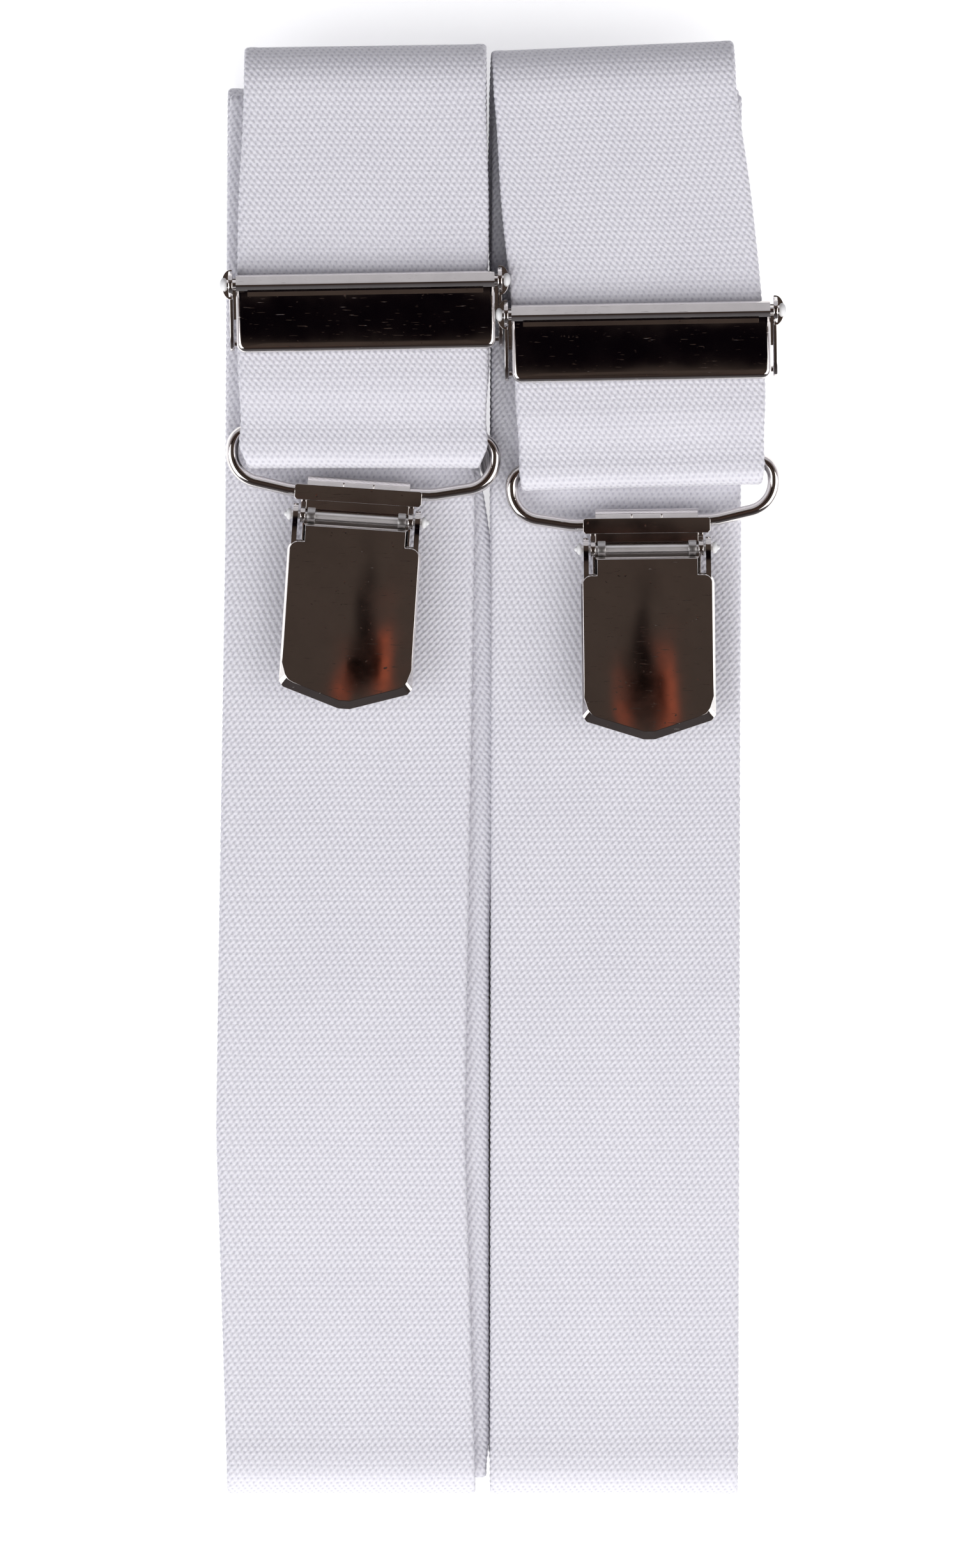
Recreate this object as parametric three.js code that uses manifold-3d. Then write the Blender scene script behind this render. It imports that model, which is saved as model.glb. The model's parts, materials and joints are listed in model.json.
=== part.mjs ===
// Gentlemen's suspenders, folded for the shelf: two 35 mm elastic straps that cross under a
// sewn back patch, a chrome adjuster slide on each front run, and four chrome clips, each
// hanging on a wire ring. The bundle lies flat: +Y runs up the straps, +Z is up, in millimetres.
import * as THREE from 'three';
import { mergeVertices } from 'three/addons/utils/BufferGeometryUtils.js';
import Module from 'manifold-3d';

const wasm = await Module();
wasm.setup();

// ---- webbing -------------------------------------------------------------------------
const STRAP_WIDTH = 35;
const STRAP_THICK = 1.2;
const PLY_GAP = 0.3;             // air between two plies that lie on each other
const PITCH = STRAP_THICK + PLY_GAP;
const LOOP_NARROWING = 0.35;     // how far each edge pulls in where the strap turns round a ring
const TOP_NARROWING = 0.55;      // and where the front run is drawn over the top of the bundle
const TOP_FOLD_Y = 102.2;        // outermost top fold, where the front run turns over
const INNER_TOP_FOLD_Y = TOP_FOLD_Y - 6.7;   // top fold of the panels inside it
const REAR_TOP_FOLD_Y = TOP_FOLD_Y - 5.2;    // fold from the crossing run to the rear end run
const BOTTOM_FOLD_Y = -101.8;    // outermost bottom fold
const INNER_BOTTOM_FOLD_Y = BOTTOM_FOLD_Y + 2.4;
const CROSSING_Y = -50;          // where the two straps cross under the patch
const CROSSING_HALF = 49;        // half the length over which they change sides

// ---- ring and clip -------------------------------------------------------------------
const WIRE_R = 0.9;
const RING_HALF = STRAP_WIDTH / 2 + WIRE_R;   // from the middle to the wire's centre at each side
const RING_DROP = 8.2;           // from the bar in the strap to the bar in the clip
const RING_FLAT_HALF = 9.9;      // straight half of the lower bar
const RING_TOP_CORNER = 2.6;
const RING_LOWER_CORNER = 4.2;
const RING_LEG_RISE = 0.91;      // how far each leg climbs from the lower bar to its corner
const SHEET = 0.7;               // thickness of the clip's steel sheet
const RUN_CLEAR = 0.3;           // clearance between moving faces
const CLIP_HALF = 7.6;           // half width of the back plate and of the rolled tab
const SHOULDER_HALF = 8.9;
const PIN_R = 0.6;
const PIN_HOLE_R = PIN_R + 0.1;
const PIN_DROP = 3.7;            // clip pin below the wire
const PIN_RISE = 1.4;            // clip pin above the wire
const LEVER_STANDOFF = 2.2;      // outer face of the lever above the pin
const LEVER_TOP = 1.2;           // upper edge of the lever below the pin
const LEVER_NECK_HALF = CLIP_HALF - RUN_CLEAR;
const LEVER_SHOULDER = 3.5;      // where the lever widens, below the pin
const LEVER_HALF = 9.35;
const LEVER_CORNER = 23.9;       // where the arrow end starts, below the pin
const LEVER_TIP = 26.8;
const RIM_DEPTH = 2.2;
const JAW_LENGTH = 20.8;
const JAW_HUB_R = 1.2;
const TOOTH_COUNT = 8;
const PAD_THICK = 0.6;

// ---- adjuster slide ------------------------------------------------------------------
const SLIDE_HALF = STRAP_WIDTH / 2 + 0.55;   // half width of the flap
const SLIDE_EAR_X = SLIDE_HALF + 0.45;       // inner face of each ear
const SLIDE_EAR_THICK = 0.6;
const SLIDE_PIN_HALF = SLIDE_EAR_X + SLIDE_EAR_THICK + 1.2;
const FLAP_LENGTH = 9.6;
const FLAP_SHEET = 0.7;
const FLAP_ROLL_R = 1.3;
const BAR_R = 0.5;
const BAR_DROP = 8;              // sewn bar below the flap's pin
const TUCK_LENGTH = 3;           // sewn-in end of the strap beyond the bar
const STUB_LENGTH = 4;           // ply that moves with the slide
const STUB_TRAVEL = 4.8;         // room that the stub has to come down

// ---- levels, from the table up -------------------------------------------------------
const wireLevel = PLY_GAP + STRAP_THICK + RUN_CLEAR + WIRE_R;         // wire above its backing ply
const slotHalf = WIRE_R + RUN_CLEAR;                                  // half of the gap in a strap loop
const clipThick = wireLevel + PIN_RISE + LEVER_STANDOFF;              // backing ply to lever face
const crossingCrest = clipThick;                                      // underside of the lower crossing run
const panelCrest = crossingCrest + 2 * PITCH;                         // underside of the back panel
const frontBase = panelCrest + 2 * PITCH + STRAP_THICK;               // top of the visible panel
const tuckLevel = PLY_GAP + STRAP_THICK + 2 * (PLY_GAP + BAR_R) + STRAP_THICK / 2;
const frontPly = tuckLevel + PITCH;                                   // front run above frontBase
const barLevel = PLY_GAP + STRAP_THICK + PLY_GAP + BAR_R;
const slidePinLevel = frontPly + STRAP_THICK / 2 + RUN_CLEAR + FLAP_ROLL_R;
const loopPly = wireLevel + slotHalf + STRAP_THICK / 2;               // front run where it leaves a loop

// Each front side: where its slide, ring and clip lie, and how far slide and clip are turned
// (degrees). A ring's skew is how far its bar rises from the strap's middle to its edge. A place
// along X is a shift from where that side's strap lies with one edge on the middle line.
const FRONT = {
  left: {
    slide: [1.0, 68.6], slideTurn: 1.0, ring: [0.8, 47.6], ringSkew: -0.64,
    clipShift: -0.5, clipTurn: -3.8, loopY: 42.7, loopTipHalf: STRAP_WIDTH / 2 - 1.2,
    run: [[40, 0.75], [66, 0.6], [102, 1.0]], tilt: [[40, 0], [80, 0.008], [102, 0.016]],
  },
  right: {
    slide: [4.45, 64.4], slideTurn: 1.0, ring: [4.7, 43.4], ringSkew: 0.73,
    clipShift: 0.3, clipTurn: 0.7, loopY: 40.0, loopTipHalf: STRAP_WIDTH / 2 - 0.6,
    run: [[39, 4.75], [54, 4.4], [66, 3.9], [102, 0.25]], tilt: [[40, 0.028], [60, 0.02], [102, 0.045]],
  },
};
// Each rear side: the strap of the other front side ends here.
const REAR = {
  left: { run: [[23, 0.4], [38, -1.1]], loopY: 19.6, ringSkew: 0.37, clipTurn: 2.4 },
  right: { run: [[40, 1.1], [97, 1.1]], loopY: 44, ringSkew: -0.24, clipTurn: -2.0 },
};
const middleOf = { left: -STRAP_WIDTH / 2, right: STRAP_WIDTH / 2 };

const REAR_RING_RISE = 1;        // rear ring's bar above the middle of its strap loop's bend

const rad = THREE.MathUtils.degToRad;
const turnOf = (skew) => THREE.MathUtils.radToDeg(Math.atan(skew / (STRAP_WIDTH / 2)));
const lerp = THREE.MathUtils.lerp;
const ramp = (v, from, to) => THREE.MathUtils.smoothstep(v, from, to);

// Straight-line interpolation through [position, value] pairs.
function along(pairs, v) {
  if (v <= pairs[0][0]) return pairs[0][1];
  for (let i = 1; i < pairs.length; i += 1) {
    const [v1, a1] = pairs[i];
    const [v0, a0] = pairs[i - 1];
    if (v <= v1) return lerp(a0, a1, (v - v0) / (v1 - v0));
  }
  return pairs[pairs.length - 1][1];
}

// ---- solids --------------------------------------------------------------------------
function solid(geometry) {
  geometry.deleteAttribute('normal');
  geometry.deleteAttribute('uv');
  const merged = mergeVertices(geometry, 1e-5);
  return new wasm.Manifold(new wasm.Mesh({
    numProp: 3,
    vertProperties: new Float32Array(merged.attributes.position.array),
    triVerts: new Uint32Array(merged.index.array),
  }));
}

function geometryOf(body) {
  const mesh = body.getMesh();
  const geometry = new THREE.BufferGeometry();
  geometry.setAttribute('position', new THREE.BufferAttribute(Float32Array.from(mesh.vertProperties), 3));
  geometry.setIndex(new THREE.BufferAttribute(Uint32Array.from(mesh.triVerts), 1));
  geometry.computeVertexNormals();
  return geometry;
}

const join = (first, ...rest) => rest.reduce((whole, piece) => whole.add(piece), first);
const cut = (first, ...rest) => rest.reduce((whole, piece) => whole.subtract(piece), first);

function block(x0, x1, y0, y1, z0, z1) {
  const box = new THREE.BoxGeometry(x1 - x0, y1 - y0, z1 - z0);
  return solid(box.translate((x0 + x1) / 2, (y0 + y1) / 2, (z0 + z1) / 2));
}

// A rod along X.
function rod(radius, x0, x1, y, z, sides = 16) {
  const cylinder = new THREE.CylinderGeometry(radius, radius, x1 - x0, sides);
  return solid(cylinder.rotateZ(Math.PI / 2).translate((x0 + x1) / 2, y, z));
}

// A plate in the XY plane between two heights.
function plate(points, z0, z1) {
  const shape = new THREE.Shape(points.map(([x, y]) => new THREE.Vector2(x, y)));
  const geometry = new THREE.ExtrudeGeometry(shape, { depth: z1 - z0, bevelEnabled: false });
  return solid(geometry.translate(0, 0, z0));
}

// A plate in the YZ plane between two values of x.
function sidePlate(points, x0, x1) {
  const shape = new THREE.Shape(points.map(([y, z]) => new THREE.Vector2(y, z)));
  const geometry = new THREE.ExtrudeGeometry(shape, { depth: x1 - x0, bevelEnabled: false });
  const swap = new THREE.Matrix4().makeBasis(
    new THREE.Vector3(0, 1, 0), new THREE.Vector3(0, 0, 1), new THREE.Vector3(1, 0, 0));
  return solid(geometry.applyMatrix4(swap).translate(x0, 0, 0));
}

function arc(cx, cy, radius, from, to, steps) {
  const points = [];
  for (let i = 0; i <= steps; i += 1) {
    const angle = rad(lerp(from, to, i / steps));
    points.push([cx + radius * Math.cos(angle), cy + radius * Math.sin(angle)]);
  }
  return points;
}

const mirrored = (points) => [...points, ...points.map(([x, y]) => [-x, y]).reverse()];

// ---- straps --------------------------------------------------------------------------
// A strap is drawn as stations along its middle: place in the side view (y, z), sideways
// place x, half width, and the slant of its cross line.
class Strap {
  constructor(half) {
    this.half = half;
    this.stations = [];
  }

  run(fromY, toY, levelOf, xOf, tiltOf = () => 0, halfOf = () => this.half) {
    const steps = Math.max(1, Math.round(Math.abs(toY - fromY) / 2));
    for (let i = 0; i <= steps; i += 1) {
      const y = lerp(fromY, toY, i / steps);
      this.stations.push({ y, z: levelOf(y), x: xOf(y), half: halfOf(y), tilt: tiltOf(y) });
    }
    return this;
  }

  // Half an ellipse from the last station to the level z, reaching out to tipY.
  fold(z, tipY, x, tilt = 0, tipHalf = null, steps = 10) {
    const last = this.stations[this.stations.length - 1];
    const reach = tipY - last.y - Math.sign(tipY - last.y) * STRAP_THICK / 2;
    for (let i = 1; i <= steps; i += 1) {
      const angle = Math.PI * i / steps;
      const part = i / steps;
      this.stations.push({
        y: last.y + reach * Math.sin(angle),
        z: (last.z + z) / 2 + (last.z - z) / 2 * Math.cos(angle),
        x: lerp(last.x, x, part), tilt: lerp(last.tilt, tilt, part),
        half: lerp(last.half, tipHalf ?? last.half, Math.sin(angle)),
      });
    }
    return this;
  }

  // Leaves out stations that the straight line between their neighbours already gives.
  thinned(tolerance = 0.012) {
    const kept = [this.stations[0]];
    const keys = ['y', 'z', 'x', 'half'];
    let start = 0;
    for (let end = 2; end < this.stations.length; end += 1) {
      const a = this.stations[start];
      const b = this.stations[end];
      let off = 0;
      for (let i = start + 1; i < end; i += 1) {
        const s = this.stations[i];
        const length = Math.hypot(b.y - a.y, b.z - a.z) || 1;
        const part = ((s.y - a.y) * (b.y - a.y) + (s.z - a.z) * (b.z - a.z)) / length ** 2;
        off = Math.max(off, ...keys.map((key) => Math.abs(s[key] - lerp(a[key], b[key], part))));
      }
      if (off > tolerance) {
        start = end - 1;
        kept.push(this.stations[start]);
      }
    }
    kept.push(this.stations[this.stations.length - 1]);
    return kept.filter((s, i) => i === 0 || Math.hypot(s.y - kept[i - 1].y, s.z - kept[i - 1].z) > 0.02);
  }

  // The closed solid: the side view's outline, extruded across the strap's width.
  body() {
    const path = this.thinned();
    const left = [];
    const right = [];
    path.forEach((s, i) => {
      const before = path[Math.max(i - 1, 0)];
      const after = path[Math.min(i + 1, path.length - 1)];
      const length = Math.hypot(after.y - before.y, after.z - before.z);
      const ny = -(after.z - before.z) / length * STRAP_THICK / 2;
      const nz = (after.y - before.y) / length * STRAP_THICK / 2;
      left.push(new THREE.Vector2(s.y + ny, s.z + nz));
      right.push(new THREE.Vector2(s.y - ny, s.z - nz));
    });
    const outline = new THREE.Shape([...left, ...[...right].reverse()]);
    const stationAt = (y, z) => {
      let found = 0;
      let nearest = Infinity;
      path.forEach((_, i) => {
        const distance = Math.min(
          Math.hypot(left[i].x - y, left[i].y - z), Math.hypot(right[i].x - y, right[i].y - z));
        if (distance < nearest) [nearest, found] = [distance, i];
      });
      return path[found];
    };
    const geometry = new THREE.ExtrudeGeometry(outline, { depth: 1, bevelEnabled: false });
    const position = geometry.attributes.position;
    for (let i = 0; i < position.count; i += 1) {
      const y = position.getX(i);
      const z = position.getY(i);
      const side = 2 * position.getZ(i) - 1;
      const s = stationAt(y, z);
      position.setXYZ(i, s.x + side * s.half, y + s.tilt * side * s.half, z);
    }
    return solid(geometry);
  }
}

// Undersides of the layers. Both sides of the bundle arch over the rear clips.
const PATCH_THICK = 1.2;
const patchRise = PATCH_THICK + PLY_GAP + 0.1;   // the outer patch plate lies between crossing and table
const PANEL_DROP = 4;                            // how much lower the panels lie at their bottom folds
const crossingLevel = (level) => (y) => patchRise * ramp(y, -92, -76) + level * PITCH
  + (crossingCrest - patchRise) * ramp(y, -46, -17) + STRAP_THICK / 2;
const panelLevel = (layer) => (y) => panelCrest - PANEL_DROP * (1 - ramp(y, -100, -26))
  + layer * PITCH + STRAP_THICK / 2;

// Sideways places of the panels of each side.
const panelX = {
  left: (y) => middleOf.left + along([[-101, -1.1], [-50, -2.6], [46, -1.1], [95, -0.6]], y),
  right: (y) => middleOf.right + along([[-101, 0.9], [31, 1.1], [95, 1.3]], y),
};
const innerX = {
  left: (y) => middleOf.left - 0.2 - 0.3 * ramp(y, 40, 0),
  right: () => middleOf.right + 1,
};

function strap(side) {
  const front = FRONT[side];
  const otherSide = side === 'left' ? 'right' : 'left';
  const rear = REAR[otherSide];
  const rearX = (y) => middleOf[otherSide] + along(rear.run, y);
  const half = STRAP_WIDTH / 2;
  const frontX = (y) => middleOf[side] + along(front.run, y);
  const frontTilt = (y) => along(front.tilt, y);
  const pen = new Strap(half);

  // Ply folded back from the ring, then round the ring and up the front run.
  const stubEnd = front.slide[1] - BAR_DROP - STUB_LENGTH - STUB_TRAVEL;
  const loopCentre = front.loopY + slotHalf + STRAP_THICK;
  const frontHalf = (y) => half - LOOP_NARROWING * (1 - ramp(y, front.ring[1] + 2, front.ring[1] + 10))
    - TOP_NARROWING * ramp(y, 78, TOP_FOLD_Y - 7);
  const lowerPly = frontBase + PLY_GAP + STRAP_THICK / 2;
  const upperPly = (y) => frontBase
    + lerp(loopPly, frontPly, ramp(y, front.ring[1] + 1.2, front.slide[1] - 13.6));
  pen.run(stubEnd, loopCentre, () => lowerPly, frontX, frontTilt, frontHalf);
  pen.fold(frontBase + loopPly, front.loopY, frontX(loopCentre), frontTilt(loopCentre), front.loopTipHalf);
  const foldStart = TOP_FOLD_Y - 6.4;
  pen.run(loopCentre, foldStart, upperPly, frontX, frontTilt, frontHalf);

  // Over the top, down the back, and folded into three panels of nearly equal length.
  const innerStart = INNER_BOTTOM_FOLD_Y + 1.4;
  pen.fold(panelLevel(0)(foldStart), TOP_FOLD_Y, frontX(102), frontTilt(102));
  pen.run(foldStart, innerStart, panelLevel(0),
    (y) => lerp(innerX[side](y), frontX(102), ramp(y, 60, 95)), (y) => frontTilt(102) * ramp(y, 75, 95),
    frontHalf);
  pen.fold(panelLevel(1)(innerStart), INNER_BOTTOM_FOLD_Y, innerX[side](innerStart));
  const innerTop = INNER_TOP_FOLD_Y - 1.4;
  pen.run(innerStart, innerTop, panelLevel(1),
    (y) => lerp(innerX[side](y), panelX[side](95), ramp(y, 60, 94)));
  pen.fold(panelLevel(2)(innerTop), INNER_TOP_FOLD_Y, panelX[side](95));
  const outerStart = BOTTOM_FOLD_Y + 4.6;
  pen.run(innerTop, outerStart, panelLevel(2), panelX[side]);

  // Under the bundle, across to the other side, and back down to the rear ring.
  const level = side === 'left' ? 0 : 1;
  const across = (y) => ramp(y, CROSSING_Y - CROSSING_HALF, CROSSING_Y + CROSSING_HALF);
  const crossX = (y) => lerp(panelX[side](-101), rearX(REAR_TOP_FOLD_Y), across(y));
  const slope = (y) => (crossX(y + 0.5) - crossX(y - 0.5));
  const crossHalf = (y) => half * Math.hypot(1, slope(y));
  pen.fold(crossingLevel(level)(outerStart), BOTTOM_FOLD_Y, panelX[side](-101));
  const rearStart = REAR_TOP_FOLD_Y - 4.4;
  pen.run(outerStart, rearStart, crossingLevel(level), crossX, () => 0, crossHalf);
  const tableLevel = STRAP_THICK / 2;
  pen.fold(tableLevel, REAR_TOP_FOLD_Y, rearX(REAR_TOP_FOLD_Y));

  const rearCentre = rear.loopY + slotHalf + STRAP_THICK;
  const seamLow = rearCentre + 9;
  const seamHigh = rearCentre + 20;
  const returnPly = crossingCrest - PLY_GAP - STRAP_THICK / 2;
  const rearPly = (y) => {
    const loose = crossingCrest - loopPly;
    const sewn = returnPly - PITCH;
    if (y < seamLow) return lerp(loose, sewn, ramp(y, rearCentre + 1.5, seamLow - 1));
    return lerp(sewn, tableLevel, ramp(y, seamHigh, 74));
  };
  const rearHalf = (y) => half - LOOP_NARROWING * (1 - ramp(y, rearCentre + 2, rearCentre + 10));
  pen.run(rearStart, rearCentre, rearPly, rearX, () => 0, rearHalf);
  pen.fold(returnPly, rear.loopY, rearX(rear.loopY));
  pen.run(rearCentre, seamHigh - 2, () => returnPly, rearX, () => 0, rearHalf);
  return pen.body();
}

// The sewn end of the strap: it wraps the slide's bar and is tucked back between the plies.
function strapEnd() {
  const pen = new Strap(STRAP_WIDTH / 2 - LOOP_NARROWING);
  const lower = PLY_GAP + STRAP_THICK / 2 - slidePinLevel;
  const upper = tuckLevel - slidePinLevel;
  const flat = (level) => () => level;
  pen.run(-BAR_DROP - STUB_LENGTH, -BAR_DROP, flat(lower), () => 0);
  pen.fold(upper, -BAR_DROP + PLY_GAP + BAR_R + STRAP_THICK, 0);
  pen.run(-BAR_DROP, -BAR_DROP - TUCK_LENGTH, flat(upper), () => 0);
  return pen.body();
}

// ---- back patch ----------------------------------------------------------------------
// Two leather plates, one on each side of the crossing, cut to a rounded diamond.
const PATCH_HALF_X = 23;
const PATCH_HALF_Y = 19;
const PATCH_WAIST = 12;

function patch(topside) {
  const corner = [[PATCH_HALF_X, -PATCH_WAIST / 2], [PATCH_HALF_X, PATCH_WAIST / 2],
    [PATCH_HALF_X - 4, PATCH_WAIST / 2 + 4], [PATCH_WAIST / 2 + 5, PATCH_HALF_Y - 1.5],
    [PATCH_WAIST / 2 + 2, PATCH_HALF_Y]];
  const lower = corner.slice(1).reverse().map(([x, y]) => [x, -y]);
  const outline = mirrored([...lower, ...corner.slice(1)]).map(([x, y]) => [x, y + CROSSING_Y]);
  const offset = topside ? PITCH + STRAP_THICK + PLY_GAP : -PLY_GAP - PATCH_THICK;
  const sheet = new Strap(PATCH_HALF_X + 1);
  const middle = (y) => crossingLevel(0)(y) - STRAP_THICK / 2 + offset + PATCH_THICK / 2;
  sheet.run(CROSSING_Y - PATCH_HALF_Y - 1, CROSSING_Y + PATCH_HALF_Y + 1, middle, () => 0.2);
  return sheet.body().intersect(plate(outline, -5, 30));
}

// ---- ring ----------------------------------------------------------------------------
// A path whose parameter steps from station to station, so bends get more of them.
class StationPath extends THREE.Curve {
  constructor(points) {
    super();
    this.points = points.map(([x, y]) => new THREE.Vector3(x, y, 0));
  }

  getPoint(t, target = new THREE.Vector3()) {
    const last = this.points.length - 1;
    const place = THREE.MathUtils.clamp(t, 0, 1) * last;
    const i = Math.min(Math.floor(place), last - 1);
    return target.lerpVectors(this.points[i], this.points[i + 1], place - i);
  }

  getPointAt(u, target) { return this.getPoint(u, target); }

  getTangentAt(u, target) { return this.getTangent(u, target); }
}

// The wire ring: its bar lies along X through the strap's loop, and its two ends meet
// inside the clip's rolled tab.
function ring() {
  const cornerX = RING_HALF - RING_LOWER_CORNER;
  const cornerY = -RING_DROP + RING_LOWER_CORNER + RING_LEG_RISE;
  const legAngle = THREE.MathUtils.radToDeg(Math.atan(RING_LEG_RISE / (cornerX - RING_FLAT_HALF)));
  const rightHalf = [
    [0.2, -RING_DROP], [RING_FLAT_HALF - 0.5, -RING_DROP], [RING_FLAT_HALF + 0.5, -RING_DROP + 0.1],
    ...arc(cornerX, cornerY, RING_LOWER_CORNER, -90 + legAngle, 0, 6),
    ...arc(RING_HALF - RING_TOP_CORNER, -RING_TOP_CORNER, RING_TOP_CORNER, 0, 90, 6),
  ];
  const path = new StationPath(mirrored(rightHalf));
  const section = new THREE.Shape(arc(0, 0, WIRE_R, 0, 315, 7).map(([x, y]) => new THREE.Vector2(x, y)));
  return solid(new THREE.ExtrudeGeometry(section, {
    steps: path.points.length - 1, extrudePath: path, bevelEnabled: false,
  }));
}

// ---- clip (origin on the wire's axis) ------------------------------------------------
const rollR = WIRE_R + RUN_CLEAR;
const plateTop = rollR + SHEET;
const pinY = -PIN_DROP;
const earInner = CLIP_HALF - 0.4;
const earOuter = CLIP_HALF + 0.3;
const leverEarInner = earOuter + RUN_CLEAR;
const leverEarOuter = leverEarInner + SHEET;

const pinHole = (half) => rod(PIN_HOLE_R, -half, half, pinY, PIN_RISE);

function clipBody() {
  const roll = sidePlate([...arc(0, 0, plateTop, -90, 90, 10), ...arc(0, 0, rollR, 90, -90, 10)],
    -CLIP_HALF, CLIP_HALF);
  const backTip = pinY - LEVER_CORNER + 2;
  const back = plate(mirrored([[0.1, backTip - 1.6], [CLIP_HALF - 1.8, backTip], [CLIP_HALF, backTip + 1.8],
    [CLIP_HALF, 0.2]]), -plateTop, -rollR);
  const frontEdge = pinY + JAW_HUB_R + RUN_CLEAR;
  const tab = block(-CLIP_HALF, CLIP_HALF, frontEdge, 0.2, rollR, plateTop);
  const shoulders = plate(mirrored([[SHOULDER_HALF - 1, -1.6], [SHOULDER_HALF, -0.9], [SHOULDER_HALF, 0.1],
    [SHOULDER_HALF - 0.6, 0.6]]), rollR, plateTop);
  const earEdge = -rollR - 0.2;
  const ear = (x0, x1) => sidePlate([
    [pinY - 1.2, -plateTop], [earEdge, -plateTop], [earEdge, rollR + 0.2], [pinY + 0.9, rollR + 0.2],
    ...arc(pinY, PIN_RISE, JAW_HUB_R, 20, 180, 6)], x0, x1);
  const whole = join(roll, back, tab, shoulders, ear(earInner, earOuter), ear(-earOuter, -earInner));
  return cut(whole, pinHole(CLIP_HALF + 2));
}

function clipPin() {
  const headFace = leverEarOuter + RUN_CLEAR;
  return join(rod(PIN_R, -headFace - 0.2, headFace + 0.2, pinY, PIN_RISE, 12),
    rod(0.85, headFace, headFace + 0.6, pinY, PIN_RISE, 12),
    rod(0.85, -headFace - 0.6, -headFace, pinY, PIN_RISE, 12));
}

function lever() {
  const face = PIN_RISE + LEVER_STANDOFF;
  const y = (below) => pinY - below;
  const outline = mirrored([
    [0.6, y(LEVER_TIP)], [LEVER_HALF - 0.6, y(LEVER_CORNER + 0.3)], [LEVER_HALF, y(LEVER_CORNER - 0.5)],
    ...arc(LEVER_HALF - 1.5, y(LEVER_SHOULDER + 1.5), 1.5, 0, 90, 4),
    [LEVER_NECK_HALF, y(LEVER_SHOULDER)], [LEVER_NECK_HALF, y(LEVER_TOP)]]);
  const wide = LEVER_HALF * 2;
  const inside = LEVER_HALF - SHEET;
  const hollow = mirrored([
    [0.5, y(LEVER_TIP - 1)], [inside, y(LEVER_CORNER - 0.5)], [inside, y(LEVER_SHOULDER + 1)],
    [wide, y(LEVER_SHOULDER + 1)], [wide, 0]]);
  const shell = cut(plate(outline, face - RIM_DEPTH, face),
    plate(hollow, face - RIM_DEPTH - 1, face - SHEET));
  const ear = (x0, x1) => sidePlate([
    ...arc(pinY, PIN_RISE, 1.6, -100, 90, 8), [y(1.8), face - SHEET / 2], [y(6), face - SHEET / 2],
    [y(6), face - RIM_DEPTH]], x0, x1);
  const whole = join(shell, ear(leverEarInner, leverEarOuter), ear(-leverEarOuter, -leverEarInner));
  return cut(whole, pinHole(LEVER_HALF + 1));
}

function jaw() {
  const half = earInner - RUN_CLEAR;
  const low = PIN_RISE - JAW_HUB_R;
  const end = pinY - JAW_LENGTH;
  const hub = rod(JAW_HUB_R, -half, half, pinY, PIN_RISE);
  const blade = block(-half, half, end, pinY, low, low + SHEET - 0.1);
  const pitch = 2 * (half - 0.9) / TOOTH_COUNT;
  const comb = [];
  for (let i = 0; i < TOOTH_COUNT; i += 1) {
    const x = -half + 0.9 + i * pitch;
    comb.push([x, low + 0.1], [x + pitch / 2, 0.05]);
  }
  comb.push([half - 0.9, low + 0.1], [half - 0.9, low + 0.3], [-half + 0.9, low + 0.3]);
  const shape = new THREE.Shape(comb.map(([x, z]) => new THREE.Vector2(x, z)));
  const teeth = new THREE.ExtrudeGeometry(shape, { depth: 1.6, bevelEnabled: false });
  teeth.rotateX(Math.PI / 2).translate(0, end + 2.2, 0);
  return cut(join(hub, blade, solid(teeth)), pinHole(half + 1));
}

function gripPad() {
  const top = pinY - JAW_LENGTH + 11;
  const base = -rollR + RUN_CLEAR;
  return plate(mirrored([[4.4, top - 11.6], [5.6, top - 10.4], [5.6, top - 0.8], [4.8, top]]),
    base, base + PAD_THICK);
}

// ---- slide (origin on the flap's pin) ------------------------------------------------
function slideFrame() {
  const bar = rod(BAR_R, -SLIDE_EAR_X - 0.3, SLIDE_EAR_X + 0.3, -BAR_DROP, barLevel - slidePinLevel, 12);
  const anvilTop = frontPly - STRAP_THICK / 2 - PLY_GAP - slidePinLevel;
  const anvil = block(-SLIDE_EAR_X - 0.3, SLIDE_EAR_X + 0.3, -4.8, 1, anvilTop - 0.8, anvilTop);
  const barZ = barLevel - slidePinLevel;
  const ear = (x0, x1) => sidePlate([
    ...arc(0, 0, 1.8, 0, 180, 10), [-1.8, anvilTop + 0.4], [-6.6, anvilTop + 0.1],
    ...arc(-BAR_DROP, barZ, 1.1, 120, 300, 6), [-3.5, barZ], [1.8, anvilTop - 0.9]], x0, x1);
  const whole = join(bar, anvil, ear(SLIDE_EAR_X, SLIDE_EAR_X + SLIDE_EAR_THICK),
    ear(-SLIDE_EAR_X - SLIDE_EAR_THICK, -SLIDE_EAR_X));
  return cut(whole, rod(PIN_HOLE_R, -SLIDE_HALF - 3, SLIDE_HALF + 3, 0, 0));
}

function slidePin() {
  const headFace = SLIDE_EAR_X + SLIDE_EAR_THICK + RUN_CLEAR;
  return join(rod(PIN_R, -headFace - 0.2, headFace + 0.2, 0, 0, 12),
    rod(0.9, headFace, SLIDE_PIN_HALF, 0, 0, 12), rod(0.9, -SLIDE_PIN_HALF, -headFace, 0, 0, 12));
}

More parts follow.
